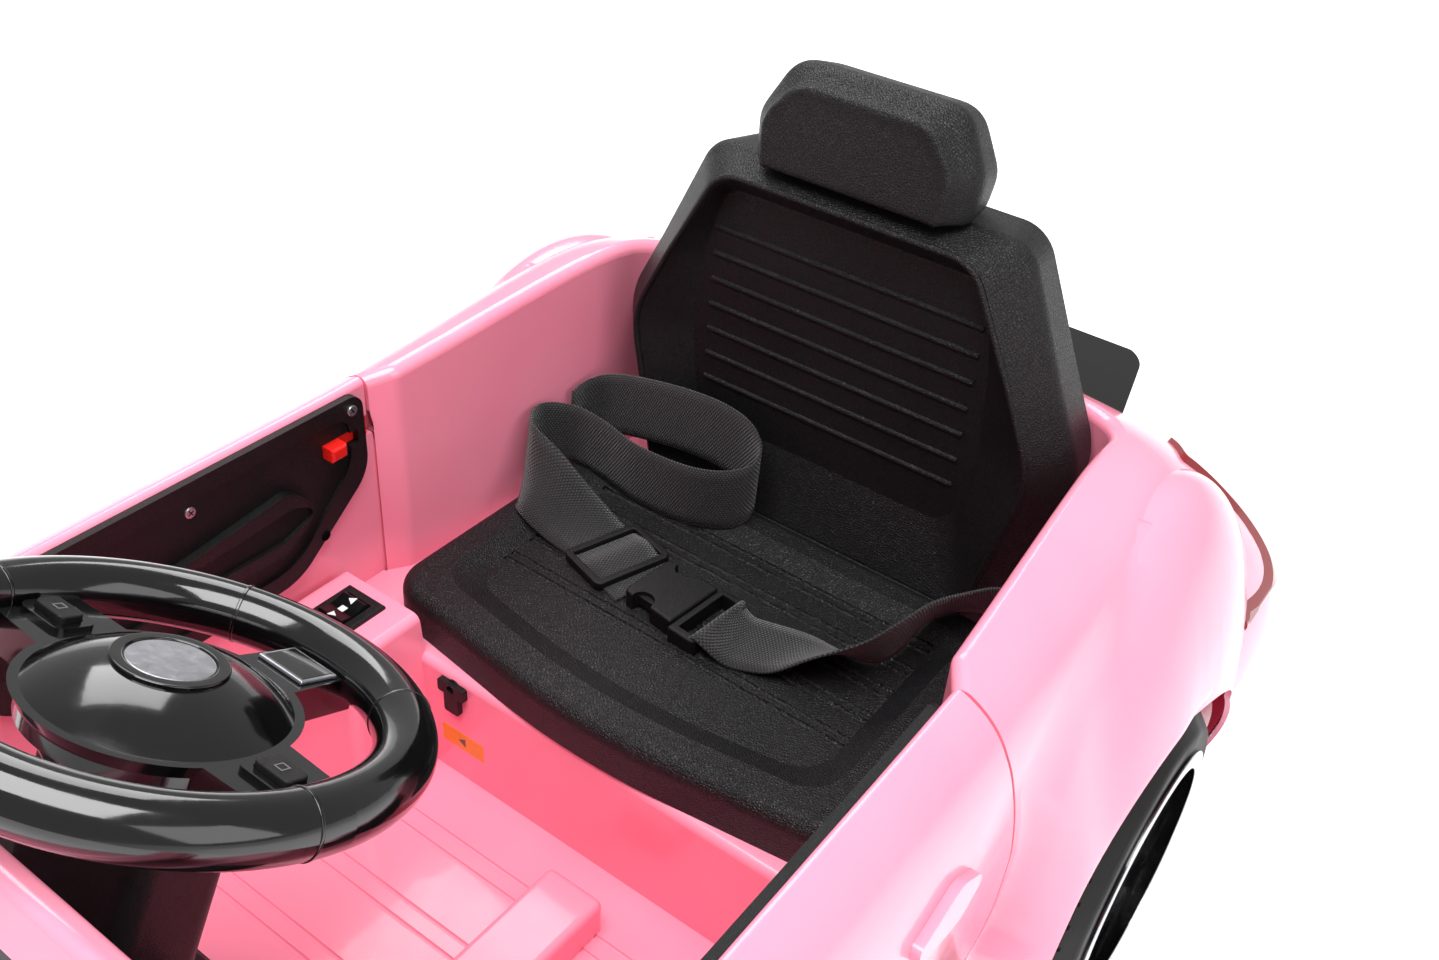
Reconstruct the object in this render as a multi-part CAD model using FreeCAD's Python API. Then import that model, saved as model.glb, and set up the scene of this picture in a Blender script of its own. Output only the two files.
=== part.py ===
"""Electric ride-on car for one child, built as separate mouldings, running gear and trim.

Millimetres. X is across the car with the driver's left at +X, the car faces -Y, and Z is up.
The origin lies on the ground under the middle of the car.
"""
import FreeCAD, Part
import math
import os

from FreeCAD import Vector

# Overall body
LENGTH = 1020.0
WAIST_HALF = 246.0
SILL_Z = 85.0
CROWN_Z = 354.0
WALL = 4.0
SEAM = 2.0
CLEAR = 0.3
TUCK = 22.0
WAIST_SHARE = 0.36
SHOULDER_POWER = 7.0
NOSE_POWER = 3.0
NOSE_TAPER = 250.0
TAIL_TAPER = 85.0
TAIL_TIP_SHARE = 0.78
NOSE_TIP_SHARE = 0.55
NOSE_TIP_Z = 205.0
TAIL_TIP_Z = 205.0
BONNET_LENGTH = 285.0
TAIL_FALL = 170.0
DECK_RISE = 14.0
DECK_RISE_Y = 300.0
DECK_RISE_SPREAD = 120.0
STATIONS = (0.0, 0.025, 0.07, 0.13, 0.19, 0.26, 0.34, 0.44, 0.54, 0.62, 0.69, 0.77, 0.84, 0.9, 0.95, 0.98,
            1.0)

# Wheels and fenders
WHEEL_R = 115.0
TYRE_WIDTH = 70.0
RIM_R = 82.0
WHEEL_OUTER_X = 290.0
REAR_AXLE_Y = 277.0
FRONT_AXLE_Y = -318.0
FENDER_BULGE = 56.0
FENDER_REACH = 172.0
TAIL_BULGE = 48.0
TAIL_BULGE_Y = 430.0
TAIL_BULGE_LEAD = 190.0
TAIL_BULGE_REACH = 240.0
HAUNCH_HALF = 72.0
HAUNCH_LENGTH = 152.0
HAUNCH_HEIGHT = 188.0
HAUNCH_CENTRE_X = 225.0
HAUNCH_CENTRE_Y = 327.0
HAUNCH_CENTRE_Z = 165.0
FENDER_PEAK_Z = 200.0
FENDER_FADE = 150.0
REAR_ARCH_R = 132.0
FRONT_ARCH_R = 146.0
AXLE_R = 6.0
RUNNING = 0.05
TREAD_BLOCKS = 48
TREAD_DEPTH = 3.0
TREAD_GROOVE = 3.0
SPOKES = 5

# Cockpit
COCKPIT_HALF = 205.0
SEAT_HALF_WIDTH_BAY = 194.0
BACK_BAY_HALF = 182.0
COCKPIT_FRONT_Y = -235.0
COCKPIT_FRONT_HALF = 140.0
COCKPIT_REAR_Y = 392.0
FLOOR_Z = 105.0
DECK_Z = 194.0
RISER_Y = 80.0
RIM_ROUND = 7.0

# Doors
DOOR_FRONT_Y = -160.0
DOOR_REAR_Y = 120.0
DOOR_BOTTOM_Z = 165.0
DOOR_HINGE_X = 236.0
DOOR_NOSE_R = 11.0
DOOR_ROUND = 4.0
TRIM_THICK = 5.0
HINGE_PIN_R = 2.5
LATCH_TRAVEL = 14.0
LATCH_Z = 313.0
LATCH_Y = 88.0

# Seat
SEAT_HALF = 170.0
SEAT_FRONT_Y = 96.0
SEAT_BOW = 22.0
SEAT_THICK = 32.0
SEAT_ROUND = 11.0
SEAT_DISH = 7.0
SEAT_RIM = 30.0
SEAT_SLOPE = 8.0
SEAT_GROOVES = 5
GROOVE_PITCH = 25.0
GROOVE_GAP = 7.0
GROOVE_BACK = 42.0
GROOVE_R = 2.2
BACK_FACE_Y = 312.0
BACK_THICK = 60.0
BACK_TOP_Z = 466.0
BACK_WIDE_Z = 332.0
BACK_WIDE_HALF = 174.0
BACK_FOOT_HALF = 148.0
BACK_UPPER_HALF = 148.0
BACK_UPPER_Z = 386.0
BACK_TOP_HALF = 112.0
BACK_ROUND = 12.0
BACK_FLARE = 20.0
BACK_FLARE_DEPTH = 24.0
BACK_TAPER = 6.0
BACK_RIDGE = 5.0
BACK_DISH = 14.0
BACK_RIBS = 7
BACK_RIB_PITCH = 18.7
BACK_LEAN = 1.5
PIPING_R = 2.2
HEAD_HALF = 78.0
HEAD_HEIGHT = 68.0
HEAD_THICK = 50.0
HEAD_FLARE = 14.0
HEAD_FLARE_DEPTH = 16.0
HEAD_LEAN = 8.0

# Steering
WHEEL_CENTRE_Y = -158.0
WHEEL_CENTRE_Z = 422.0
COLUMN_TILT = 27.0
STEER_R = 94.0
STEER_TUBE = 13.0
PAD_R = 54.0
PAD_DEPTH = 34.0
SHAFT_R = 5.0
CRANK = 40.0
KINGPIN_X = 205.0
KINGPIN_R = 5.0
TIE_R = 4.0
BUTTON_TRAVEL = 2.0

# Windscreen
SCREEN_TOP_Z = 428.0
SCREEN_TOP_Y = -240.0
SCREEN_BASE_Y = -292.0
SCREEN_TOP_HALF = 168.0
SCREEN_BASE_HALF = 192.0
SCREEN_BAR = 20.0
SCREEN_THICK = 14.0
PANE_THICK = 3.0

# Body seams, hinges and latches
DOOR_SWEEP = 18.0
DOOR_KNEE_Z = 255.0
HINGE_INSET = 40.0
HINGE_PIN_HALF = 20.0
LUG_HEIGHT = 14.0
LUG_R = 8.0
LATCH_HEIGHT = 14.0
LATCH_DEPTH = 6.0
LATCH_BOLT = 20.0
LATCH_KNOB = 12.0
LATCH_NECK = 9.0
LATCH_PROUD = 7.0
TRIM_FRONT_Y = -148.0
TRIM_REAR_Y = 114.0
TRIM_TOP_Z = 342.0
TRIM_LOW_Z = 232.0
POCKET_RIM = 12.0
POCKET_DEPTH = 2.0
RIDGE_PROUD = 4.0
RIDGE_DROP = 8.0
# Corners of the armrest ridge: y from the panel's front edge, z from the ridge's line, rounding
RIDGE = [(52, 6, 10.0), (200, 24, 14.0), (220, 2, 12.0), (192, -18, 14.0), (52, -14, 10.0)]
RIDGE_HOLLOW = 3.0
HANDLE_Y = 26.0
HANDLE_Z = 275.0
HANDLE_LENGTH = 67.0
HANDLE_PROUD = 5.0
# Corners of the handle's leaf: share of its length, z from its line, rounding
HANDLE_LEAF = [(0, -5, 4.0), (0, 5, 4.0), (0.6, 13, 18.0), (1, 0, 5.0), (0.6, -11, 18.0)]

# Floor, console and controls
FLOOR_LINES = 3
FLOOR_LINE_PITCH = 52.0
FLOOR_LINE_GAP = 12.0
FLOOR_LINE_R = 1.5
STEP_ROUND = 6.0
CONSOLE_INNER = 130.0
CONSOLE_Y = 28.0
CONSOLE_Z = 222.0
CONSOLE_ROUND = 6.0
CONSOLE_RAKE = 14.0
CONSOLE_TAPER = 12.0
CONSOLE_INSET = 6.0
DUCT_X = 10.0
DUCT_WIDTH = 42.0
DUCT_END_Y = 48.0
DUCT_HEIGHT = 25.0
DUCT_ROUND = 5.0
SOCKET_X = -98.0
SOCKET_Z = 184.0
SOCKET_R = 5.5
SOCKET_TAB = 22.0
SOCKET_STEM = 12.0
SOCKET_TALL = 30.0
SOCKET_BORE_R = 3.0
SOCKET_PLATE = 4.0
SOCKET_DEPTH = 12.0
ROCKER_X = -166.0
ROCKER_Y = 55.0
ROCKER_WIDTH = 20.0
ROCKER_LENGTH = 28.0
ROCKER_BEZEL = 3.0
ROCKER_DEEP = 14.0
ROCKER_PIN_R = 1.5
ROCKER_PLAY = 1.5
ROCKER_PROUD = 4.0
ROCKER_DIP = 3.0
PEDAL_X = -95.0
PEDAL_Y = -118.0
PEDAL_Z = 112.0
PEDAL_WIDTH = 58.0
PEDAL_LENGTH = 78.0
PEDAL_RIBS = 6
PEDAL_BARREL_R = 5.0
PEDAL_FOOT = 1.5
PEDAL_PIN_R = 2.0
PEDAL_ANGLE = 28.0

# Chassis and drive
CHASSIS_HALF = 140.0
CHASSIS_LENGTH = 800.0
CHASSIS_Z = 62.0
CHASSIS_BAYS = 6
AXLE_BLOCK = 20.0
AXLE_BLOCK_X = 128.0
ARM_THICK = 11.0
ARM_HALF = 12.0
KNUCKLE_HALF = 19.0
KNUCKLE_R = 9.5
GEARBOX_GAP = 4.0
GEARBOX_R = 36.0
GEARBOX_REACH = 52.0
MOTOR_R = 18.0
MOTOR_RISE = 10.0
MOTOR_LENGTH = 50.0
BATTERY_HALF = 60.0
BATTERY_Y = 150.0
BATTERY_DEPTH = 80.0
BATTERY_HEIGHT = 78.0
CONTROL_WIDTH = 42.0
CONTROL_DEPTH = 50.0
CONTROL_HEIGHT = 36.0

# Wheel details
HUB_RECESS = 16.0
HUB_LENGTH = 40.0
HUB_R = 16.0
AXLE_CAP = 6.0
RIM_LIP = 8.0
LIP_THICK = 2.0
TYRE_SHOULDER = 12.0
SPOKE_THICK = 7.0
STEM_WIDTH = 13.0
STEM_END = 46.0
STEM_GROOVE = 3.0
BRANCH_WIDTH = 7.0
BRANCH_SPREAD = 21.0
CAP_R = 10.0
CAP_HEIGHT = 3.0

# Steering details
LINK_THICK = 8.0
TIE_EYE_R = 8.0
PIVOT_PLAY = 1.5
CRANK_PIN_R = 4.0
COLUMN_LENGTH = 318.0
COLUMN_BOSS_R = 15.0
COLUMN_BOSS_TOP = 158.0
COLUMN_BOSS_LENGTH = 38.0
SPOKE_BROAD = 46.0
SPOKE_NARROW = 40.0
SPOKE_DROP = 8.0
SPOKE_HALF = 8.0
PAD_SEAT = 12.0
PAD_DOME = 16.0
BADGE_R = 17.0
BADGE_SUNK = 4.0
BADGE_THICK = 2.5
BUTTON_X = 67.0
BUTTON_LENGTH = 19.0
BUTTON_WIDTH = 11.0
BUTTON_DEEP = 7.0
BUTTON_PROUD = 3.0
SWITCH_FRAME = 4.0
SWITCH_PROUD = 2.0
SHROUD_TOP = 36.0
SHROUD_HALF = 38.0
SHROUD_DEEP = 46.0
DASH_LOW_Z = 290.0
DASH_TOP_Z = 344.0
DASH_DEPTH = 42.0

# Seat details
SEAT_CORNER = 26.0
SEAT_BACK_CORNER = 8.0
SEAT_BOW_R = 500.0
PANEL_LOW_Z = 268.0
PANEL_HIGH_Z = 440.0
PANEL_HALF = 102.0
PANEL_BOW = 8.0
RIB_LOW_Z = 298.0
RIB_END = 4.0
BACK_RIB_R = 2.5
HEAD_SET = 0.0
HEAD_ROUND = 8.0

# Belt
BELT_WIDTH = 48.0
BELT_THICK = 1.6
BELT_STEPS = 3
BELT_ANGLE = -5.0
FAR_ANGLE = -12.0
NEAR_ANGLE = 17.0
FAR_FLAT = 60.0
NEAR_FLAT = 36.0
BUCKLE_X = -9.5
BUCKLE_Y = 195.5
BUCKLE_LENGTH = 64.0
BUCKLE_WIDTH = 52.0
BUCKLE_THICK = 13.0
BUCKLE_ROUND = 2.0
SOCKET_HALF = 21.0
NOTCH_X = -16.0
NOTCH_R = 8.0
PRONG_INSET = 6.0
PRONG_WIDTH = 4.0
PLUG_LENGTH = 22.0
PLUG_DROP = 2.0
PLUG_BAR = 5.0
SLIDER_GAP = 13.0
SLIDER_LENGTH = 42.0
SLIDER_WIDTH = 58.0
SLIDER_THICK = 5.0
SLIDER_BAR = 5.0
# Stations of the loose webbing: a centre, then the way its upper edge lies from there
FAR_STATIONS = [
    (-176, 278, 249, 0.0, 0.1, 1.0),
    (-175, 293, 252, 0.0, 0.1, 1.0),
    (-166, 303, 256, 0.0, 0.1, 1.0),
    (-146, 306, 262, 0.0, 0.1, 1.0),
    (-105, 307, 270, 0.0, 0.1, 1.0),
    (-70, 307, 273, 0.0, 0.1, 1.0),
    (-45, 306, 269, 0.0, 0.1, 1.0),
    (-30, 301, 261, 0.0, 0.05, 1.0),
    (-26, 292, 254, 0.05, 0.0, 1.0),
    (-32, 282, 249, 0.0, 0.0, 1.0),
    (-47, 273, 246, 0.0, -0.03, 1.0),
    (-70, 267, 244.4, 0.0, -0.03, 1.0),
    (-105, 265, 244.6, 0.0, -0.03, 1.0),
    (-138, 267, 249, 0.0, 0.0, 1.0),
    (-162, 265, 251, 0.0, 0.0, 1.0),
    (-177, 252, 251, -0.1, 0.1, 1.0),
    (-176, 235, 250.5, -0.1, 0.22, 1.0),
    (-163, 220, 250, -0.05, 0.42, 0.9),
    (-142, 213, 243, 0.3, 0.8, 0.55),
    (-119, 213, 230, 0.33, 0.9, 0.25),
    (-96, 213.5, 220.6, 0.29, 0.96, 0.0),
]
NEAR_STATIONS = [
    (44, 197.5, 221.0, 0.2, -0.98, 0.0),
    (66, 203, 224.2, 0.1, -0.98, 0.1),
    (88, 208, 233, 0.1, -0.85, 0.5),
    (107, 216, 241, 0.3, -0.5, 0.8),
    (119, 230, 245, 0.25, -0.2, 0.95),
    (125, 252, 247, 0.3, 0.0, 0.95),
    (131, 277, 248, 0.5, -0.1, 0.85),
    (143, 298, 248, 0.5, -0.25, 0.83),
    (160, 312, 244, 0.4, -0.35, 0.85),
]

# Lamps, grille and spoiler
LENS_THICK = 2.5
BEZEL_THICK = 1.5
BEZEL_EDGE = 7.0
LAMP_SETBACK = 60.0
# Corners of the lamps in front view: x, z and rounding
HEADLAMP = [(112, 262, 10.0), (196, 300, 14.0), (232, 286, 10.0), (206, 250, 18.0), (140, 244, 14.0)]
# Which way each headlamp corner goes when the outline is let out
HEADLAMP_OUT = [(-1, 0), (0, 1), (1, 1), (1, -1), (0, -1)]
TAIL_LAMP = [(192, 322, 4.0), (214, 336, 4.0), (288, 240, 6.0), (262, 230, 6.0)]
GRILLE_THICK = 2.0
GRILLE_HALF = 105.0
GRILLE_LOW_Z = 112.0
GRILLE_HIGH_Z = 178.0
GRILLE_SLATS = 5
GRILLE_TAPER = 18.0
GRILLE_REACH = 40.0
GRILLE_MARGIN = 24.0
SPOILER_HALF = 164.0
SPOILER_Y = 442.0
SPOILER_DEPTH = 60.0
SPOILER_Z = 337.0
SPOILER_RISE = 6.0
SPOILER_THICK = 14.0
SPOILER_ROOT = 46.0
SPOILER_SWEEP = 18.0

NOSE_Y = -LENGTH / 2
TAIL_Y = LENGTH / 2
AXLE_Z = WHEEL_R
FRONT_SEAM_Y = DOOR_FRONT_Y - SEAM
REAR_SEAM_Y = DOOR_REAR_Y + SEAM
POST_Y = REAR_SEAM_Y + WALL + CLEAR
HINGE_Y = DOOR_FRONT_Y + DOOR_NOSE_R
SEAT_TOP_Z = DECK_Z + SEAT_THICK
SEAT_FLAT_Z = SEAT_TOP_Z - SEAT_DISH
ROCKER_PIVOT_Z = CONSOLE_Z - 2
COLUMN_AXIS = Vector(0, math.sin(math.radians(COLUMN_TILT)), math.cos(math.radians(COLUMN_TILT)))
X_AXIS = Vector(1, 0, 0)
Y_AXIS = Vector(0, 1, 0)
Z_AXIS = Vector(0, 0, 1)


# General helpers
def box(x0, x1, y0, y1, z0, z1):
    """A block between two corners."""
    return Part.makeBox(x1 - x0, y1 - y0, z1 - z0, Vector(x0, y0, z0))


def rod(start, direction, radius, length):
    """A round bar from a start point."""
    return Part.makeCylinder(radius, length, Vector(*start), direction)


def mirrored(shape):
    """The same piece on the other side of the car."""
    return shape.mirror(Vector(0, 0, 0), X_AXIS)


def both_sides(shape):
    """The piece and its mirror image as one group."""
    return Part.makeCompound([shape, mirrored(shape)])


def rounded_wire(corners, place):
    """A closed outline with round corners. Each corner is (u, v, radius), and place maps (u, v) to space."""
    count = len(corners)
    spans = []
    for i, (u, v, radius) in enumerate(corners):
        before = corners[i - 1]
        after = corners[(i + 1) % count]
        here = Vector(u, v, 0)
        to_before = (Vector(before[0], before[1], 0) - here).normalize()
        to_after = (Vector(after[0], after[1], 0) - here).normalize()
        half = to_before.getAngle(to_after) / 2
        if radius <= 0:
            spans.append((here, None, here))
            continue
        back = radius / math.tan(half)
        middle = (to_before + to_after).normalize() * (radius / math.sin(half) - radius)
        spans.append((here + to_before * back, here + middle, here + to_after * back))
    edges = []
    for i, (start, middle, end) in enumerate(spans):
        following = spans[(i + 1) % count][0]
        if middle is not None:
            edges.append(Part.Arc(*[place(p.x, p.y) for p in (start, middle, end)]).toShape())
        if (following - end).Length > 1e-6:
            edges.append(Part.makeLine(place(end.x, end.y), place(following.x, following.y)))
    return Part.Wire(edges)


def plan_prism(corners, z0, z1):
    """An outline in plan, raised from z0 to z1."""
    wire = rounded_wire(corners, lambda u, v: Vector(u, v, z0))
    return Part.Face(wire).extrude(Vector(0, 0, z1 - z0))


def side_prism(corners, x0, x1):
    """An outline in side view (y, z), carried from x0 to x1."""
    wire = rounded_wire(corners, lambda u, v: Vector(x0, u, v))
    return Part.Face(wire).extrude(Vector(x1 - x0, 0, 0))


def front_prism(corners, y0, y1):
    """An outline in front view (x, z), carried from y0 to y1."""
    wire = rounded_wire(corners, lambda u, v: Vector(u, y0, v))
    return Part.Face(wire).extrude(Vector(0, y1 - y0, 0))


def symmetric(half):
    """A closed outline from the corners of its right half, listed from one end to the other."""
    return half + [(-u, v, r) for u, v, r in reversed(half)]


def edges_where(shape, test):
    """The edges whose middle point passes a test."""
    return [e for e in shape.Edges if test(e.CenterOfMass)]


# Body surface
def rounded_rise(share, power):
    """A curve that leaves 0 steeply and flattens out at 1."""
    share = max(0.0, min(1.0, share))
    return (1 - (1 - share) ** power) ** (1 / power)


def half_width(y):
    """Half the body's width at the waist, without the fenders."""
    nose = NOSE_TIP_SHARE + (1 - NOSE_TIP_SHARE) * rounded_rise((y - NOSE_Y) / NOSE_TAPER, 2.4)
    tail = TAIL_TIP_SHARE + (1 - TAIL_TIP_SHARE) * rounded_rise((TAIL_Y - y) / TAIL_TAPER, 2.4)
    return WAIST_HALF * min(nose, tail)


def crown(y):
    """Height of the body's top line."""
    rise = DECK_RISE * math.exp(-(((y - DECK_RISE_Y) / DECK_RISE_SPREAD) ** 2))
    bonnet = rounded_rise((y - NOSE_Y) / BONNET_LENGTH, 1.7)
    deck = rounded_rise((TAIL_Y - y) / TAIL_FALL, 2.0)
    front = NOSE_TIP_Z + (CROWN_Z - NOSE_TIP_Z) * bonnet
    rear = TAIL_TIP_Z + (CROWN_Z + rise - TAIL_TIP_Z) * deck
    return min(front + rise, rear)


def shoulder_power(y):
    """How square the body's shoulders are at y."""
    share = min(1.0, (y - NOSE_Y) / NOSE_TAPER, (TAIL_Y - y) / TAIL_FALL)
    return NOSE_POWER + (SHOULDER_POWER - NOSE_POWER) * share


def fender(y, z):
    """How far the fenders swell outwards at this place."""
    front = abs(y - FRONT_AXLE_Y) / FENDER_REACH
    tail = (y - TAIL_BULGE_Y) / (TAIL_BULGE_REACH if y > TAIL_BULGE_Y else TAIL_BULGE_LEAD)
    swell = FENDER_BULGE * max(0.0, 1 - front ** 2) ** 1.5 + TAIL_BULGE * max(0.0, 1 - tail ** 2) ** 1.5
    above = max(0.0, z - FENDER_PEAK_Z) / FENDER_FADE
    return swell * math.cos(min(above, 1.0) * math.pi / 2) ** 2


def body_section(y, at, inset):
    """The body's cross-section for y, drawn in by inset and set at another place, as a closed wire."""
    width = half_width(y) - inset
    top = crown(y) - inset
    bottom = SILL_Z - 3 * inset
    waist = SILL_Z + WAIST_SHARE * (crown(y) - SILL_Z)
    power = shoulder_power(y)
    right = []
    for share in (0.0, 0.5):
        right.append((width - TUCK * (1 - share) ** 2, bottom + share * (waist - bottom)))
    for step in range(6):
        angle = step * math.pi / 12
        across = math.cos(angle) ** (2 / power)
        upward = math.sin(angle) ** (2 / power)
        right.append((width * across, waist + (top - waist) * upward))
    points = [Vector(x + fender(y, z), at, z) for x, z in right]
    points.append(Vector(0, at, top))
    points += [Vector(-p.x, at, p.z) for p in reversed(points[:-1])]
    curve = Part.BSplineCurve()
    curve.interpolate(Points=points)
    return Part.Wire([curve.toShape(), Part.makeLine(points[-1], points[0])])


def body_solid(inset):
    """The body's outer form, or the form inside its wall."""
    wires = []
    for share in STATIONS:
        y = NOSE_Y + share * LENGTH
        at = NOSE_Y + inset + share * (LENGTH - 2 * inset)
        wires.append(body_section(y, at, inset))
    body = Part.makeLoft(wires, True, False)
    return body.fuse([haunch(inset), mirrored(haunch(inset))])


def haunch(inset):
    """The rounded left rear fender that stands out from the body's side, drawn in by inset."""
    ball = Part.makeSphere(1.0)
    sizes = FreeCAD.Matrix()
    sizes.scale(HAUNCH_HALF - inset, HAUNCH_LENGTH - inset, HAUNCH_HEIGHT - inset)
    ball = ball.transformGeometry(sizes)
    ball.translate(Vector(HAUNCH_CENTRE_X, HAUNCH_CENTRE_Y, HAUNCH_CENTRE_Z))
    return ball.common(box(0, LENGTH, 0, TAIL_Y - inset, SILL_Z - 3 * inset, LENGTH))


def cockpit_outline(grow):
    """Plan of the open cockpit, let out by grow."""
    half = [
        (COCKPIT_FRONT_HALF + grow, COCKPIT_FRONT_Y - grow, 25.0),
        (COCKPIT_HALF + grow, DOOR_FRONT_Y - grow, 20.0),
        (COCKPIT_HALF + grow, DOOR_REAR_Y + grow, 8.0),
        (SEAT_HALF_WIDTH_BAY + grow, DOOR_REAR_Y + 18 + grow, 12.0),
        (BACK_BAY_HALF + grow, BACK_FACE_Y + grow, 40.0),
        (BACK_BAY_HALF - 4 + grow, COCKPIT_REAR_Y + grow, 45.0),
    ]
    return symmetric(half)


def cockpit(grow, floor):
    """The cockpit's open space above a floor."""
    return plan_prism(cockpit_outline(grow), floor, BACK_TOP_Z)


def wheel_arches(axle_y, radius):
    """The two wheel openings on one axle."""
    inner = WHEEL_OUTER_X - TYRE_WIDTH - 12
    arch = rod((inner, axle_y, AXLE_Z), X_AXIS, radius, LENGTH / 2 - inner)
    return both_sides(arch)


def y_slab(y0, y1):
    """All the space between two planes across the car."""
    return box(-LENGTH, LENGTH, y0, y1, -LENGTH, LENGTH)


def door_outline(grow):
    """Side view of a door, let out by grow."""
    return [
        (DOOR_FRONT_Y - grow, DOOR_BOTTOM_Z - grow, 14.0),
        (DOOR_REAR_Y + DOOR_SWEEP + grow, DOOR_BOTTOM_Z - grow, 30.0),
        (DOOR_REAR_Y + DOOR_SWEEP + grow, DOOR_KNEE_Z - DOOR_SWEEP, 30.0),
        (DOOR_REAR_Y + grow, LATCH_Z + LATCH_HEIGHT / 2, 40.0),
        (DOOR_REAR_Y + grow, BACK_TOP_Z, 0.0),
        (DOOR_FRONT_Y - grow, BACK_TOP_Z, 0.0),
    ]


def door_space(grow):
    """The space that both closed doors take, let out by grow."""
    return both_sides(side_prism(door_outline(grow), COCKPIT_HALF - grow, LENGTH / 2))


def column_place(shape):
    """Move a shape drawn about the origin, facing up, onto the steering column."""
    placed = shape.copy()
    placed.rotate(Vector(0, 0, 0), X_AXIS, -COLUMN_TILT)
    placed.translate(Vector(0, WHEEL_CENTRE_Y, WHEEL_CENTRE_Z))
    return placed


def column_rod(radius, top, bottom):
    """A bar along the column between two distances below the steering wheel."""
    return column_place(Part.makeCylinder(radius, bottom - top, Vector(0, 0, -bottom)))


# Body mouldings
def rim_edges(shape):
    """The edges where the cockpit's wall meets the body's top."""
    wall = rounded_wire(cockpit_outline(0), lambda u, v: Vector(u, v, 0))
    found = []
    for edge in shape.Edges:
        span = edge.LastParameter - edge.FirstParameter
        spots = [edge.valueAt(edge.FirstParameter + span * share) for share in (0.0, 0.5, 1.0)]
        level = abs(spots[2].z - spots[0].z) < abs(spots[2].x - spots[0].x) + abs(spots[2].y - spots[0].y)
        touching = [wall.distToShape(Part.Vertex(Vector(p.x, p.y, 0)))[0] < CLEAR for p in spots]
        if level and all(touching) and min(p.z for p in spots) > LATCH_Z:
            found.append(edge)
    return found


def hinge_heights():
    """The levels of the middle of each door hinge lug."""
    return (DOOR_BOTTOM_Z + HINGE_INSET, LATCH_Z - HINGE_INSET / 2)


def hinge_lugs():
    """The two lugs that carry the left door."""
    lugs = []
    for z in hinge_heights():
        low = z - LUG_HEIGHT / 2
        eye = rod((DOOR_HINGE_X, HINGE_Y, low), Z_AXIS, LUG_R, LUG_HEIGHT)
        arm = box(DOOR_HINGE_X - LUG_R, DOOR_HINGE_X + LUG_R / 2, FRONT_SEAM_Y - WALL, HINGE_Y, low,
                  low + LUG_HEIGHT)
        bore = rod((DOOR_HINGE_X, HINGE_Y, low), Z_AXIS, HINGE_PIN_R, LUG_HEIGHT)
        lugs.append(eye.fuse(arm).cut(bore))
    return lugs


def front_body(outer, inner):
    """Bonnet, front wings and cowl, open below and towards the cockpit."""
    skin = outer.common(y_slab(-LENGTH, FRONT_SEAM_Y))
    room = inner.common(y_slab(-LENGTH, FRONT_SEAM_Y - WALL)).cut(cockpit(WALL, FLOOR_Z - WALL))
    shell = skin.cut([room, cockpit(0, FLOOR_Z), wheel_arches(FRONT_AXLE_Y, FRONT_ARCH_R)])
    boss = column_rod(COLUMN_BOSS_R, COLUMN_BOSS_TOP, COLUMN_BOSS_TOP + COLUMN_BOSS_LENGTH)
    lugs = hinge_lugs()
    duct = floor_duct().common(y_slab(-LENGTH, FRONT_SEAM_Y))
    shell = shell.fuse([boss, duct] + lugs + [mirrored(lug) for lug in lugs])
    shell = shell.cut([column_rod(SHAFT_R + RUNNING, 0, COLUMN_LENGTH), tray_block(CLEAR)])
    return shell.makeFillet(RIM_ROUND, rim_edges(shell))


def rear_body(outer, inner):
    """Rear wings, tail and the well round the backrest, open below."""
    skin = outer.common(y_slab(REAR_SEAM_Y, LENGTH))
    room = inner.common(y_slab(REAR_SEAM_Y + WALL, LENGTH))
    room = room.cut([cockpit(WALL, DECK_Z - WALL), door_space(SEAM + WALL)])
    shell = skin.cut([room, cockpit(0, DECK_Z), door_space(SEAM), wheel_arches(REAR_AXLE_Y, REAR_ARCH_R)])
    shell = shell.makeFillet(RIM_ROUND, rim_edges(shell))
    bay = box(-BATTERY_HALF - SEAM, BATTERY_HALF + SEAM, BATTERY_Y - SEAM,
              BATTERY_Y + BATTERY_DEPTH + SEAM, 0, DECK_Z + 1)
    bolt_hole = box(COCKPIT_HALF - 1, COCKPIT_HALF + LATCH_DEPTH + SEAM, DOOR_REAR_Y,
                    DOOR_REAR_Y + 2 * LATCH_TRAVEL,
                    LATCH_Z - LATCH_HEIGHT / 2 - SEAM, LATCH_Z + LATCH_HEIGHT / 2 + SEAM)
    return shell.cut([bay, both_sides(bolt_hole), tray_block(CLEAR)])


def floor_grooves():
    """The pressed lines across the footwell floor."""
    lines = []
    for i in range(FLOOR_LINES):
        y = RISER_Y - FLOOR_LINE_PITCH * (i + 1)
        for step in (0.0, FLOOR_LINE_GAP):
            lines.append(rod((-COCKPIT_HALF + WALL, y + step, FLOOR_Z), X_AXIS, FLOOR_LINE_R,
                             2 * (COCKPIT_HALF - WALL)))
    return lines


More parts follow.
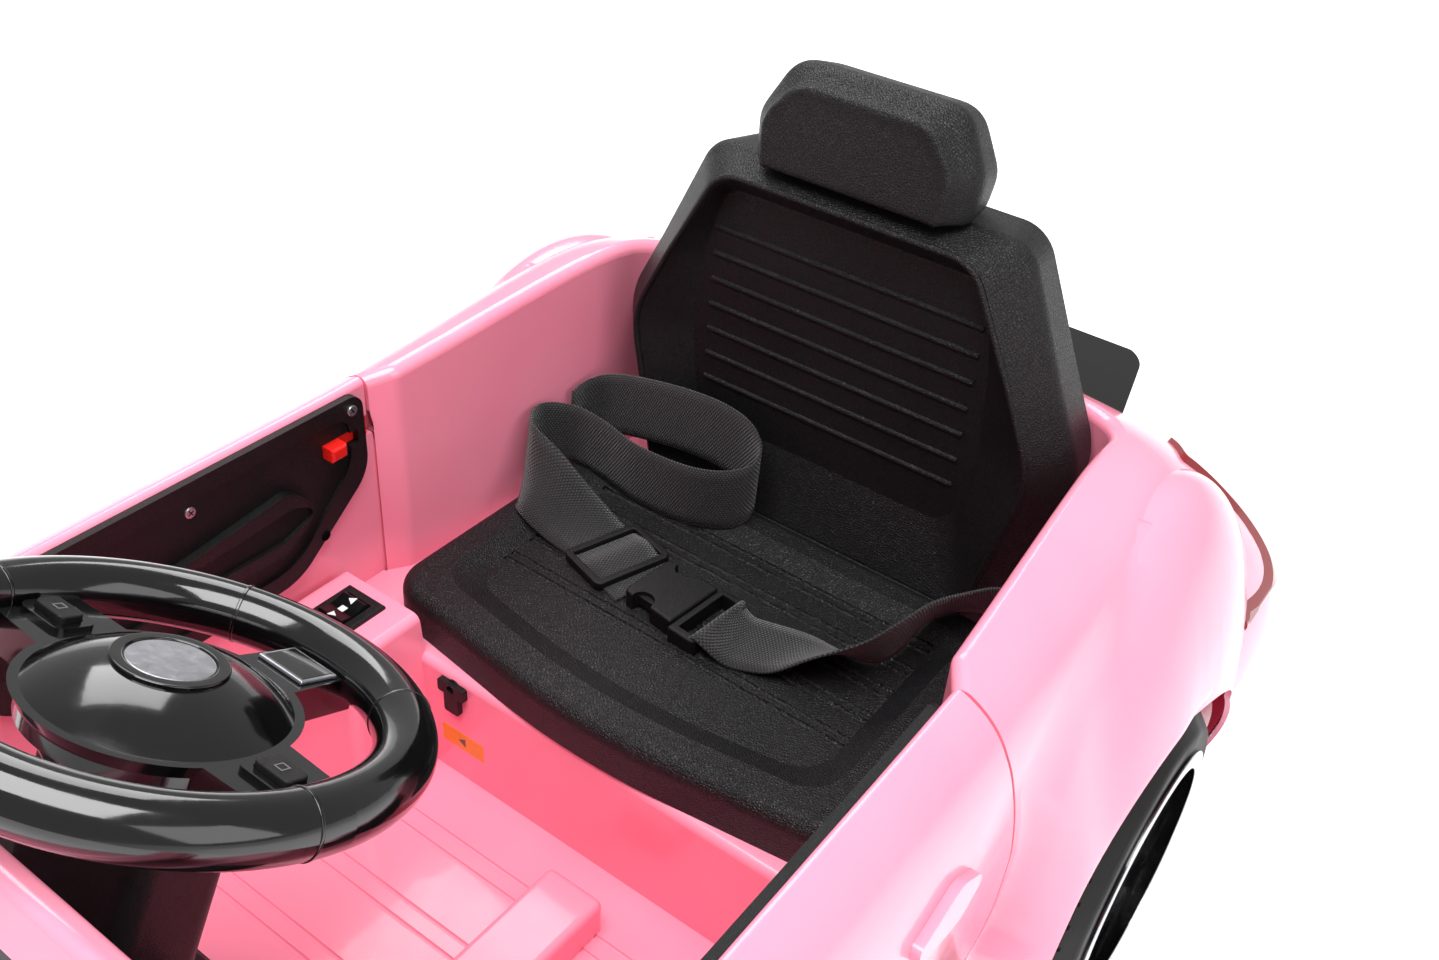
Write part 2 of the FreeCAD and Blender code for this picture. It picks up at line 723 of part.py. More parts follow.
def switch_console():
    """The tapered box beside the driver's right hand that carries the rocker."""
    rear = RISER_Y + WALL
    front, inner = CONSOLE_Y - CONSOLE_RAKE, -CONSOLE_INNER + CONSOLE_TAPER
    foot = [(-COCKPIT_HALF, front), (inner, front), (inner, rear), (-COCKPIT_HALF, rear)]
    wall = -COCKPIT_HALF + CONSOLE_INSET
    head = [(wall, CONSOLE_Y), (-CONSOLE_INNER, CONSOLE_Y), (-CONSOLE_INNER, rear), (wall, rear)]
    wires = []
    for corners, z in ((foot, FLOOR_Z), (head, CONSOLE_Z)):
        wires.append(Part.makePolygon([Vector(x, y, z) for x, y in corners + corners[:1]]))
    block = Part.makeLoft(wires, True, True)
    ridges = edges_where(block, lambda c: c.z > FLOOR_Z + 1 and c.y < RISER_Y and c.x > -COCKPIT_HALF + 4)
    return block.makeFillet(CONSOLE_ROUND, ridges)


def floor_duct():
    """The raised cable duct along the footwell floor."""
    duct = box(DUCT_X, DUCT_X + DUCT_WIDTH, COCKPIT_FRONT_Y, DUCT_END_Y, FLOOR_Z, FLOOR_Z + DUCT_HEIGHT)
    return duct.makeFillet(
        DUCT_ROUND, edges_where(duct, lambda c: c.z > FLOOR_Z + 1 and c.y > COCKPIT_FRONT_Y + 1))


def floor_tub(outer, inner):
    """Footwell floor, sills under the doors and the step up to the seat."""
    slab = y_slab(FRONT_SEAM_Y, REAR_SEAM_Y)
    sill_top = DOOR_BOTTOM_Z - SEAM
    sills = outer.common(slab).common(box(-LENGTH, LENGTH, -LENGTH, LENGTH, 0, sill_top))
    sill_room = inner.common(y_slab(FRONT_SEAM_Y + WALL, REAR_SEAM_Y - WALL))
    under = sill_room.common(box(-LENGTH, LENGTH, -LENGTH, LENGTH, -LENGTH, FLOOR_Z - WALL))
    inside = sill_room.common(box(COCKPIT_HALF + WALL, LENGTH, -LENGTH, LENGTH, -LENGTH, sill_top - WALL))
    tub = sills.cut([cockpit(0, FLOOR_Z), under, both_sides(inside)])
    step = box(-COCKPIT_HALF, COCKPIT_HALF, RISER_Y, REAR_SEAM_Y, FLOOR_Z - WALL, DECK_Z)
    step = step.cut(box(-COCKPIT_HALF + WALL, COCKPIT_HALF - WALL, RISER_Y + WALL, REAR_SEAM_Y, 0,
                        DECK_Z - WALL))
    step = step.makeFillet(
        STEP_ROUND, edges_where(step, lambda c: c.z > DECK_Z - 0.1 and c.y < RISER_Y + 0.1))
    tub = tub.fuse([step, switch_console(), floor_duct().common(slab)])
    tub = tub.cut(floor_grooves())
    pocket = rod((SOCKET_X, RISER_Y - 1, SOCKET_Z), Y_AXIS, SOCKET_R, WALL + 2)
    return tub.cut([pocket, rocker_pocket(), tray_block(CLEAR)])


def rocker_frame(grow, deep):
    """A block set into the console's top at the rocker, let out by grow."""
    return box(ROCKER_X - ROCKER_WIDTH / 2 - grow, ROCKER_X + ROCKER_WIDTH / 2 + grow,
               ROCKER_Y - ROCKER_LENGTH / 2 - grow, ROCKER_Y + ROCKER_LENGTH / 2 + grow,
               CONSOLE_Z - deep, CONSOLE_Z)


def rocker_pocket():
    """The hole in the console for the rocker's housing."""
    return rocker_frame(ROCKER_BEZEL, ROCKER_DEEP + WALL)


def switch_housing():
    """The black frame that the rocker turns in."""
    flange = box(ROCKER_X - ROCKER_WIDTH / 2 - 2 * ROCKER_BEZEL,
                 ROCKER_X + ROCKER_WIDTH / 2 + 2 * ROCKER_BEZEL,
                 ROCKER_Y - ROCKER_LENGTH / 2 - 2 * ROCKER_BEZEL,
                 ROCKER_Y + ROCKER_LENGTH / 2 + 2 * ROCKER_BEZEL,
                 CONSOLE_Z, CONSOLE_Z + ROCKER_BEZEL)
    flange = flange.makeFillet(1.5, edges_where(flange, lambda c: c.z > CONSOLE_Z + ROCKER_BEZEL - 0.1))
    case = flange.fuse(rocker_frame(ROCKER_BEZEL, ROCKER_DEEP + WALL))
    well = rocker_frame(0, ROCKER_DEEP)
    mouth = well.copy()
    mouth.translate(Vector(0, 0, ROCKER_DEEP - 1))
    pin = rod((ROCKER_X - ROCKER_WIDTH / 2 - 1, ROCKER_Y, ROCKER_PIVOT_Z), X_AXIS, ROCKER_PIN_R,
              ROCKER_WIDTH + 2)
    return case.cut([well, mouth]).fuse(pin)


def direction_rocker():
    """The rocker that picks forward, stop or reverse."""
    half = ROCKER_LENGTH / 2 - CLEAR - ROCKER_PLAY
    top = CONSOLE_Z + ROCKER_BEZEL + ROCKER_PROUD
    low = ROCKER_PIVOT_Z - ROCKER_PIN_R - 2
    corners = [
        (ROCKER_Y - half + 5, low, 2.0), (ROCKER_Y + half - 5, low, 2.0),
        (ROCKER_Y + half, top, 1.5), (ROCKER_Y, top - ROCKER_DIP, 20.0), (ROCKER_Y - half, top, 1.5),
    ]
    block = side_prism(corners, ROCKER_X - ROCKER_WIDTH / 2 + CLEAR, ROCKER_X + ROCKER_WIDTH / 2 - CLEAR)
    hole = rod((ROCKER_X - ROCKER_WIDTH, ROCKER_Y, ROCKER_PIVOT_Z), X_AXIS, ROCKER_PIN_R + RUNNING,
               2 * ROCKER_WIDTH)
    return block.cut(hole)


# Under the body
def tray_block(grow):
    """The outer form of the lower tray up to the floor's underside, let out sideways by grow."""
    half = CHASSIS_HALF + grow
    end = CHASSIS_LENGTH / 2 + grow
    outline = symmetric([(half - 30, -end, 25.0), (half, -end + 90, 30.0), (half, end, 30.0)])
    return plan_prism(outline, CHASSIS_Z, FLOOR_Z - WALL)


def chassis_frame():
    """The black lower tray with the axle blocks and the front arms."""
    top = FLOOR_Z - WALL
    tray = tray_block(0)
    bays = []
    pitch = (CHASSIS_LENGTH - 2 * WALL) / CHASSIS_BAYS
    for i in range(CHASSIS_BAYS):
        y = -CHASSIS_LENGTH / 2 + WALL + i * pitch
        for x0, x1 in ((-CHASSIS_HALF + 34, -WALL / 2), (WALL / 2, CHASSIS_HALF - 34)):
            bays.append(box(x0, x1, y + WALL, y + pitch, CHASSIS_Z - 1, top - WALL))
    tray = tray.cut(bays)
    parts = []
    for side in (-1, 1):
        x = side * AXLE_BLOCK_X
        parts.append(box(x - AXLE_BLOCK / 2, x + AXLE_BLOCK / 2, REAR_AXLE_Y - AXLE_BLOCK,
                         REAR_AXLE_Y + AXLE_BLOCK,
                         top - 1, AXLE_Z + AXLE_BLOCK))
        parts.append(box(x - AXLE_BLOCK / 2, x + AXLE_BLOCK / 2, POST_Y, POST_Y + AXLE_BLOCK, top - 1,
                         DECK_Z - WALL))
        for z in (AXLE_Z - KNUCKLE_HALF - CLEAR - ARM_THICK, AXLE_Z + KNUCKLE_HALF + CLEAR):
            arm = box(CHASSIS_HALF - 40, KINGPIN_X, FRONT_AXLE_Y - ARM_HALF, FRONT_AXLE_Y + ARM_HALF, z,
                      z + ARM_THICK)
            eye = rod((KINGPIN_X, FRONT_AXLE_Y, z), Z_AXIS, ARM_HALF, ARM_THICK)
            arm = arm.fuse(eye).cut(rod((KINGPIN_X, FRONT_AXLE_Y, z), Z_AXIS, KINGPIN_R, ARM_THICK))
            parts.append(arm if side > 0 else mirrored(arm))
        tower = box(CHASSIS_HALF - 40, CHASSIS_HALF - 40 + AXLE_BLOCK, FRONT_AXLE_Y - ARM_HALF,
                    FRONT_AXLE_Y + ARM_HALF,
                    top - 1, AXLE_Z + KNUCKLE_HALF + CLEAR + ARM_THICK)
        parts.append(tower if side > 0 else mirrored(tower))
    frame = tray.fuse(parts)
    return frame.cut(rod((-WHEEL_OUTER_X, REAR_AXLE_Y, AXLE_Z), X_AXIS, AXLE_R, 2 * WHEEL_OUTER_X))


def kingpins():
    """The two upright pins that the front knuckles turn on."""
    low = AXLE_Z - KNUCKLE_HALF - CLEAR - ARM_THICK
    height = 2 * (KNUCKLE_HALF + CLEAR + ARM_THICK)
    return both_sides(rod((KINGPIN_X, FRONT_AXLE_Y, low), Z_AXIS, KINGPIN_R, height))


def rear_axle():
    """The fixed steel axle of the rear wheels."""
    half = WHEEL_OUTER_X - HUB_RECESS - AXLE_CAP
    return rod((-half, REAR_AXLE_Y, AXLE_Z), X_AXIS, AXLE_R, 2 * half)


def gearboxes():
    """The two reduction boxes beside the rear wheels, each on the axle."""
    x1 = WHEEL_OUTER_X - TYRE_WIDTH - GEARBOX_GAP
    x0 = CHASSIS_HALF
    y = REAR_AXLE_Y - GEARBOX_REACH
    z = AXLE_Z + MOTOR_RISE
    case = rod((x0, REAR_AXLE_Y, AXLE_Z), X_AXIS, GEARBOX_R, x1 - x0)
    case = case.fuse(rod((x0, y, z), X_AXIS, MOTOR_R + WALL, x1 - x0))
    case = case.fuse(box(x0, x1, y, REAR_AXLE_Y, z - MOTOR_R, z + MOTOR_R))
    return both_sides(case.cut(rod((x0, REAR_AXLE_Y, AXLE_Z), X_AXIS, AXLE_R, x1 - x0)))


def drive_motors():
    """The two motors on the inner faces of the gearboxes."""
    x1 = CHASSIS_HALF
    y = REAR_AXLE_Y - GEARBOX_REACH
    z = AXLE_Z + MOTOR_RISE
    can = rod((x1 - MOTOR_LENGTH, y, z), X_AXIS, MOTOR_R, MOTOR_LENGTH)
    neck = rod((x1 - MOTOR_LENGTH - WALL, y, z), X_AXIS, MOTOR_R / 3, WALL)
    return both_sides(can.fuse(neck))


def battery():
    """The battery under the seat, standing on the tray."""
    block = box(-BATTERY_HALF, BATTERY_HALF, BATTERY_Y, BATTERY_Y + BATTERY_DEPTH, FLOOR_Z - WALL,
                FLOOR_Z - WALL + BATTERY_HEIGHT)
    return block.makeFillet(3, edges_where(block, lambda c: c.z > FLOOR_Z))


def control_box():
    """The control unit beside the battery."""
    x0 = BATTERY_HALF + 3 * WALL
    return box(x0, x0 + CONTROL_WIDTH, BATTERY_Y, BATTERY_Y + CONTROL_DEPTH, FLOOR_Z - WALL,
               FLOOR_Z - WALL + CONTROL_HEIGHT)


def charge_socket():
    """The charging socket on its hooked tab on the front of the step."""
    head = DECK_Z - STEP_ROUND
    shoulder = SOCKET_Z - SOCKET_R
    half = SOCKET_TAB / 2
    stem = SOCKET_STEM / 2
    outline = symmetric([(stem, DECK_Z - SOCKET_TALL, 1.5), (stem, shoulder, 0.0), (half, shoulder, 1.5),
                         (half, head, 1.5)])
    plate = front_prism([(SOCKET_X + u, v, r) for u, v, r in outline], RISER_Y - SOCKET_PLATE, RISER_Y)
    barrel = rod((SOCKET_X, RISER_Y - 1, SOCKET_Z), Y_AXIS, SOCKET_R, SOCKET_DEPTH + 3)
    bore = rod((SOCKET_X, RISER_Y - SOCKET_PLATE, SOCKET_Z), Y_AXIS, SOCKET_BORE_R,
               SOCKET_PLATE + SOCKET_DEPTH)
    return plate.fuse(barrel).cut(bore)


# Running gear
def tyre():
    """A moulded tyre with cross blocks, drawn on the left with its axle through the origin."""
    x0 = WHEEL_OUTER_X - TYRE_WIDTH
    shoulder = TYRE_SHOULDER
    corners = [
        (x0, RIM_R, 0.0), (WHEEL_OUTER_X, RIM_R, 0.0), (WHEEL_OUTER_X, WHEEL_R - shoulder, 6.0),
        (WHEEL_OUTER_X - shoulder, WHEEL_R, 8.0), (x0 + shoulder, WHEEL_R, 8.0),
               (x0, WHEEL_R - shoulder, 6.0),
    ]
    wire = rounded_wire(corners, lambda u, v: Vector(u, 0, v))
    ring = Part.Face(wire).revolve(Vector(0, 0, 0), X_AXIS, 360)
    cuts = []
    for i in range(TREAD_BLOCKS):
        slot = box(x0 - 1, WHEEL_OUTER_X + 1, -TREAD_GROOVE / 2, TREAD_GROOVE / 2, WHEEL_R - TREAD_DEPTH,
                   WHEEL_R + 2)
        slot.rotate(Vector(0, 0, 0), X_AXIS, (i + 0.5) * 360 / TREAD_BLOCKS)
        cuts.append(slot)
    return ring.cut(cuts)


def wheel():
    """A wheel with its barrel, spokes and hub, drawn on the left with its axle through the origin."""
    face = WHEEL_OUTER_X - HUB_RECESS
    x0 = WHEEL_OUTER_X - TYRE_WIDTH
    barrel = rod((x0, 0, 0), X_AXIS, RIM_R, TYRE_WIDTH - 4)
    lip = rod((WHEEL_OUTER_X, 0, 0), X_AXIS, RIM_R + RIM_LIP, LIP_THICK)
    body = barrel.fuse(lip)
    body = body.fuse(rod((WHEEL_OUTER_X - 5, 0, 0), X_AXIS, RIM_R, 6))
    body = body.cut(rod((x0 - 1, 0, 0), X_AXIS, RIM_R - WALL, TYRE_WIDTH + 20))
    hub = rod((face - HUB_LENGTH, 0, 0), X_AXIS, HUB_R, HUB_LENGTH)
    web = rod((face - SPOKE_THICK - WALL, 0, 0), X_AXIS, RIM_R - 1, WALL)
    fork = STEM_END - BRANCH_WIDTH
    across = (RIM_R - 2) * math.sin(math.radians(BRANCH_SPREAD))
    rise = (RIM_R - 2) * math.cos(math.radians(BRANCH_SPREAD)) - fork
    spokes = []
    for i in range(SPOKES):
        stem = box(face - SPOKE_THICK - 1, face, -STEM_WIDTH / 2, STEM_WIDTH / 2, HUB_R - 4, STEM_END)
        stem = stem.cut(box(face - STEM_GROOVE, face + 1, -STEM_GROOVE / 2, STEM_GROOVE / 2, HUB_R,
                            STEM_END))
        arms = [stem]
        for sense in (-1, 1):
            arm = box(face - SPOKE_THICK - 1, face, -BRANCH_WIDTH / 2, BRANCH_WIDTH / 2, 0,
                      math.hypot(across, rise))
            arm.rotate(Vector(0, 0, 0), X_AXIS, sense * math.degrees(math.atan2(across, rise)))
            arm.translate(Vector(0, 0, fork))
            arms.append(arm)
        for arm in arms:
            arm.rotate(Vector(0, 0, 0), X_AXIS, i * 360 / SPOKES)
            spokes.append(arm)
    cap = rod((face, 0, 0), X_AXIS, CAP_R, CAP_HEIGHT)
    body = body.fuse([hub, web] + spokes + [cap])
    return body.cut(rod((face - HUB_LENGTH - 1, 0, 0), X_AXIS, AXLE_R + RUNNING,
                        HUB_LENGTH - AXLE_CAP + 1.5))


def at_corner(shape, side, axle_y):
    """A copy of a left-hand wheel piece at one corner of the car."""
    placed = shape if side > 0 else mirrored(shape)
    placed = placed.copy()
    placed.translate(Vector(0, axle_y, AXLE_Z))
    return placed


def knuckle():
    """The left front knuckle with its stub axle and steering arm."""
    post = rod((KINGPIN_X, FRONT_AXLE_Y, AXLE_Z - KNUCKLE_HALF), Z_AXIS, KNUCKLE_R, 2 * KNUCKLE_HALF)
    stub = rod((KINGPIN_X, FRONT_AXLE_Y, AXLE_Z), X_AXIS, AXLE_R,
               WHEEL_OUTER_X - HUB_RECESS - AXLE_CAP - KINGPIN_X)
    z0 = AXLE_Z - KNUCKLE_HALF
    arm = box(KINGPIN_X - TIE_EYE_R, KINGPIN_X + TIE_EYE_R, FRONT_AXLE_Y, FRONT_AXLE_Y + CRANK, z0,
              z0 + LINK_THICK)
    end = rod((KINGPIN_X, FRONT_AXLE_Y + CRANK, z0), Z_AXIS, TIE_EYE_R, LINK_THICK)
    pin = rod((KINGPIN_X, FRONT_AXLE_Y + CRANK, z0), Z_AXIS, TIE_R, 2 * LINK_THICK + 4)
    body = post.fuse([stub, arm, end, pin])
    return body.cut(rod((KINGPIN_X, FRONT_AXLE_Y, z0 - 1), Z_AXIS, KINGPIN_R + RUNNING,
                        2 * KNUCKLE_HALF + 2))


def tie_rod():
    """The link between the two steering arms, with a slot for the column's crank."""
    y = FRONT_AXLE_Y + CRANK
    z0 = AXLE_Z - KNUCKLE_HALF + LINK_THICK + CLEAR
    bar = box(-KINGPIN_X, KINGPIN_X, y - TIE_R - 1, y + TIE_R + 1, z0, z0 + LINK_THICK - 1)
    eyes = [rod((x, y, z0), Z_AXIS, TIE_EYE_R, LINK_THICK - 1) for x in (-KINGPIN_X, 0, KINGPIN_X)]
    bar = bar.fuse(eyes)
    holes = [
        rod((KINGPIN_X, y, z0), Z_AXIS, TIE_R + RUNNING, LINK_THICK),
        rod((-KINGPIN_X, y, z0), Z_AXIS, TIE_R + PIVOT_PLAY, LINK_THICK),
        rod((0, y, z0), Z_AXIS, CRANK_PIN_R + PIVOT_PLAY, LINK_THICK),
    ]
    return bar.cut(holes)


# Steering
def column_shaft():
    """The steel column with the crank that moves the tie rod."""
    shaft = column_rod(SHAFT_R, PAD_SEAT, COLUMN_LENGTH)
    y = FRONT_AXLE_Y + CRANK
    z0 = AXLE_Z - KNUCKLE_HALF + LINK_THICK + CLEAR
    foot = column_place(Part.makeCylinder(SHAFT_R * 2, 6, Vector(0, 0, -COLUMN_LENGTH)))
    foot_at = Vector(0, WHEEL_CENTRE_Y, WHEEL_CENTRE_Z) - COLUMN_AXIS * (COLUMN_LENGTH - 3)
    arm = box(-SHAFT_R, SHAFT_R, foot_at.y, y + SHAFT_R, foot_at.z - 4, foot_at.z + 4)
    pin = rod((0, y, z0), Z_AXIS, CRANK_PIN_R, foot_at.z - z0)
    return shaft.fuse([foot, arm, pin])


def steering_wheel():
    """The wheel's rim, three spokes and the bowl under the horn pad."""
    rim = Part.makeTorus(STEER_R, STEER_TUBE)
    bowl = Part.makeCone(PAD_R * 0.62, PAD_R, PAD_DEPTH, Vector(0, 0, -PAD_DEPTH))
    spokes = []
    for angle, wide in ((0, SPOKE_BROAD), (90, SPOKE_NARROW), (180, SPOKE_BROAD)):
        reach = STEER_R - STEER_TUBE / 3
        bar = plan_prism([(0, -wide / 2, 0.0), (reach, -wide / 2 + 5, 0.0), (reach, wide / 2 - 5, 0.0),
                          (0, wide / 2, 0.0)],
                         -SPOKE_DROP - SPOKE_HALF, -SPOKE_DROP + SPOKE_HALF)
        bar.rotate(Vector(0, 0, 0), Z_AXIS, angle)
        spokes.append(bar)
    frames = [switch_block(side, SWITCH_FRAME, -SPOKE_DROP,
                           SPOKE_HALF - SPOKE_DROP + SWITCH_PROUD) for side in (-1, 1)]
    body = rim.fuse([bowl] + spokes + frames)
    room = Part.makeCylinder(PAD_R - WALL, PAD_DEPTH, Vector(0, 0, -PAD_SEAT))
    socket = Part.makeCylinder(SHAFT_R, PAD_DEPTH, Vector(0, 0, -PAD_DEPTH - 1))
    floor = SPOKE_HALF - SPOKE_DROP - BUTTON_DEEP
    wells = [switch_block(side, CLEAR, floor, floor + PAD_DEPTH) for side in (-1, 1)]
    return column_place(body.cut([room, socket] + wells))


def switch_block(side, grow, low, high):
    """A rounded block at the switch in one side spoke, let out by grow."""
    x0 = side * BUTTON_X - BUTTON_LENGTH / 2 - grow
    x1 = side * BUTTON_X + BUTTON_LENGTH / 2 + grow
    y1 = BUTTON_WIDTH / 2 + grow
    corner = BUTTON_WIDTH / 4 + grow / 2
    return plan_prism([(x0, -y1, corner), (x1, -y1, corner), (x1, y1, corner), (x0, y1, corner)], low, high)


def horn_pad():
    """The domed pad in the middle of the steering wheel."""
    radius = PAD_R - WALL
    dome = Part.makeCylinder(radius, PAD_SEAT, Vector(0, 0, -PAD_SEAT))
    ball_r = (radius ** 2 + PAD_DOME ** 2) / (2 * PAD_DOME)
    ball = Part.makeSphere(ball_r, Vector(0, 0, PAD_DOME - ball_r))
    cap = ball.common(Part.makeCylinder(radius, PAD_DOME, Vector(0, 0, 0)))
    seat = Part.makeCylinder(BADGE_R, PAD_DOME, Vector(0, 0, PAD_DOME - BADGE_SUNK))
    return column_place(dome.fuse(cap).cut(seat))


def pad_badge():
    """The bare silver disc sunk in the horn pad."""
    disc = Part.makeCylinder(BADGE_R, BADGE_THICK, Vector(0, 0, PAD_DOME - BADGE_SUNK))
    return column_place(disc.makeFillet(
        0.6, edges_where(disc, lambda c: c.z > PAD_DOME - BADGE_SUNK + BADGE_THICK - 0.1)))


def spoke_button(side):
    """A push bar in one side spoke of the steering wheel."""
    face = SPOKE_HALF - SPOKE_DROP
    top = face + SWITCH_PROUD + BUTTON_PROUD
    button = switch_block(side, 0, face - BUTTON_DEEP + BUTTON_TRAVEL + CLEAR, top)
    button = button.makeFillet(BUTTON_PROUD / 3, edges_where(button, lambda c: c.z > top - 0.1))
    return column_place(button)


def column_shroud():
    """The wide cover round the column, from under the wheel to the bulkhead."""
    wires = []
    for drop, half, deep in ((SHROUD_TOP, SHROUD_HALF, SHROUD_DEEP),
                             (SHROUD_TOP + 200, SHROUD_HALF - 8, SHROUD_DEEP + 10)):
        corners = symmetric([(half, -deep / 2, 10.0), (half, deep / 2, 10.0)])
        wires.append(rounded_wire(corners, lambda u, v: Vector(u, v, -drop)))
    cover = column_place(Part.makeLoft(wires, True, True))
    cover = cover.common(y_slab(COCKPIT_FRONT_Y, LENGTH))
    return cover.cut([column_rod(COLUMN_BOSS_R + CLEAR, COLUMN_BOSS_TOP - CLEAR, COLUMN_LENGTH),
                      column_rod(SHAFT_R + 1, 0, COLUMN_LENGTH)])


def dashboard():
    """The dark panel across the cockpit's front, round the column cover."""
    half = COCKPIT_FRONT_HALF - 12
    corners = [
        (COCKPIT_FRONT_Y, DASH_LOW_Z, 0.0), (COCKPIT_FRONT_Y, DASH_TOP_Z, 0.0),
               (COCKPIT_FRONT_Y + 20, DASH_TOP_Z - 4, 8.0),
        (COCKPIT_FRONT_Y + DASH_DEPTH, DASH_TOP_Z - 24, 10.0),
               (COCKPIT_FRONT_Y + DASH_DEPTH - 14, DASH_LOW_Z, 10.0),
    ]
    panel = side_prism(corners, -half, half)
    wires = []
    for drop, grow in ((SHROUD_TOP - 40, CLEAR), (SHROUD_TOP + 200, CLEAR)):
        share = (drop - SHROUD_TOP) / 200
        wide = SHROUD_HALF - 8 * share + grow
        deep = SHROUD_DEEP + 10 * share + 2 * grow
        outline = symmetric([(wide, -deep / 2, 10.0), (wide, deep / 2, 10.0)])
        wires.append(rounded_wire(outline, lambda u, v: Vector(u, v, -drop)))
    return panel.cut(column_place(Part.makeLoft(wires, True, True)))


def foot_pedal():
    """The drive pedal, hinged at its heel."""
    plate = box(PEDAL_X - PEDAL_WIDTH / 2, PEDAL_X + PEDAL_WIDTH / 2, PEDAL_Y - PEDAL_LENGTH, PEDAL_Y,
                PEDAL_Z - 2, PEDAL_Z + 4)
    plate = plate.makeFillet(2, edges_where(plate, lambda c: c.z > PEDAL_Z + 3.9 and c.y < PEDAL_Y - 0.1))
    ribs = []
    for i in range(PEDAL_RIBS):
        y = PEDAL_Y - PEDAL_LENGTH * (i + 1.5) / (PEDAL_RIBS + 1.5)
        ribs.append(rod((PEDAL_X - PEDAL_WIDTH / 2 + 6, y, PEDAL_Z + 4), X_AXIS, 1.6, PEDAL_WIDTH - 12))
    barrel = rod((PEDAL_X - PEDAL_WIDTH / 2, PEDAL_Y, PEDAL_Z), X_AXIS, PEDAL_BARREL_R, PEDAL_WIDTH)
    pedal = plate.fuse(ribs + [barrel])
    pedal = pedal.cut(rod((PEDAL_X - PEDAL_WIDTH, PEDAL_Y, PEDAL_Z), X_AXIS, PEDAL_PIN_R + RUNNING,
                          2 * PEDAL_WIDTH))
    pedal.rotate(Vector(PEDAL_X, PEDAL_Y, PEDAL_Z), X_AXIS, -PEDAL_ANGLE)
    return pedal


def pedal_base():
    """The pedal's foot on the floor, with its two ears and pin."""
    gap = PEDAL_WIDTH / 2 + CLEAR
    plate = box(PEDAL_X - gap - WALL, PEDAL_X + gap + WALL, PEDAL_Y - PEDAL_LENGTH * 0.7, PEDAL_Y + 8,
                FLOOR_Z, FLOOR_Z + PEDAL_FOOT)
    ears = []
    for x in (PEDAL_X - gap - WALL, PEDAL_X + gap):
        ear = rod((x, PEDAL_Y, PEDAL_Z), X_AXIS, PEDAL_BARREL_R, WALL)
        ears.append(ear.fuse(box(x, x + WALL, PEDAL_Y - PEDAL_BARREL_R, PEDAL_Y + PEDAL_BARREL_R,
                                 FLOOR_Z + 1, PEDAL_Z)))
    pin = rod((PEDAL_X - gap - WALL, PEDAL_Y, PEDAL_Z), X_AXIS, PEDAL_PIN_R, 2 * gap + 2 * WALL)
    return plate.fuse(ears + [pin])


# Doors
def door(outer):
    """The left door's moulding, with its hinge bores and latch channel."""
    slab = side_prism(door_outline(0), COCKPIT_HALF, LENGTH / 2)
    leaf = outer.common(slab)
    leaf = leaf.makeFillet(DOOR_ROUND, edges_where(leaf,
                                                   lambda c: c.x < COCKPIT_HALF + 0.1 and c.z > TRIM_TOP_Z))
    nose = rod((DOOR_HINGE_X, HINGE_Y, 0), Z_AXIS, DOOR_NOSE_R, LENGTH)
    corner = box(DOOR_HINGE_X, LENGTH, -LENGTH, HINGE_Y, 0, LENGTH).cut(nose)
    cuts = [corner]
    for z in hinge_heights():
        low = z - LUG_HEIGHT / 2 - CLEAR
        high = LUG_HEIGHT + 2 * CLEAR
        cuts.append(rod((DOOR_HINGE_X, HINGE_Y, low), Z_AXIS, LUG_R + 2, high))
        cuts.append(box(DOOR_HINGE_X - LUG_R - 2, LENGTH, -LENGTH, HINGE_Y, low, low + high))
        cuts.append(rod((DOOR_HINGE_X, HINGE_Y, z - HINGE_PIN_HALF - CLEAR), Z_AXIS, HINGE_PIN_R + RUNNING,
                        2 * HINGE_PIN_HALF + 2 * CLEAR))
    cuts.append(box(COCKPIT_HALF - 1, COCKPIT_HALF + LATCH_DEPTH + CLEAR, LATCH_Y - LATCH_BOLT,
                    DOOR_REAR_Y + DOOR_SWEEP,
                    LATCH_Z - LATCH_HEIGHT / 2 - CLEAR, LATCH_Z + LATCH_HEIGHT / 2 + CLEAR))
    return leaf.cut(cuts)


def hinge_pins():
    """The four door hinge pins."""
    pins = [rod((DOOR_HINGE_X, HINGE_Y, z - HINGE_PIN_HALF), Z_AXIS, HINGE_PIN_R,
                2 * HINGE_PIN_HALF) for z in hinge_heights()]
    return Part.makeCompound(pins + [mirrored(pin) for pin in pins])


def trim_outline(inset):
    """Side view of the door's inner panel, drawn in by inset."""
    return [
        (TRIM_FRONT_Y + inset, TRIM_TOP_Z - inset, 16.0),
        (TRIM_FRONT_Y + inset, TRIM_LOW_Z + 34 + inset, 30.0),
        (TRIM_FRONT_Y + 70, TRIM_LOW_Z + inset, 40.0),
        (TRIM_REAR_Y - 62, TRIM_LOW_Z + inset, 40.0),
        (TRIM_REAR_Y - inset, TRIM_LOW_Z + 52 + inset, 30.0),
        (TRIM_REAR_Y - inset, TRIM_TOP_Z - inset, 10.0),
    ]


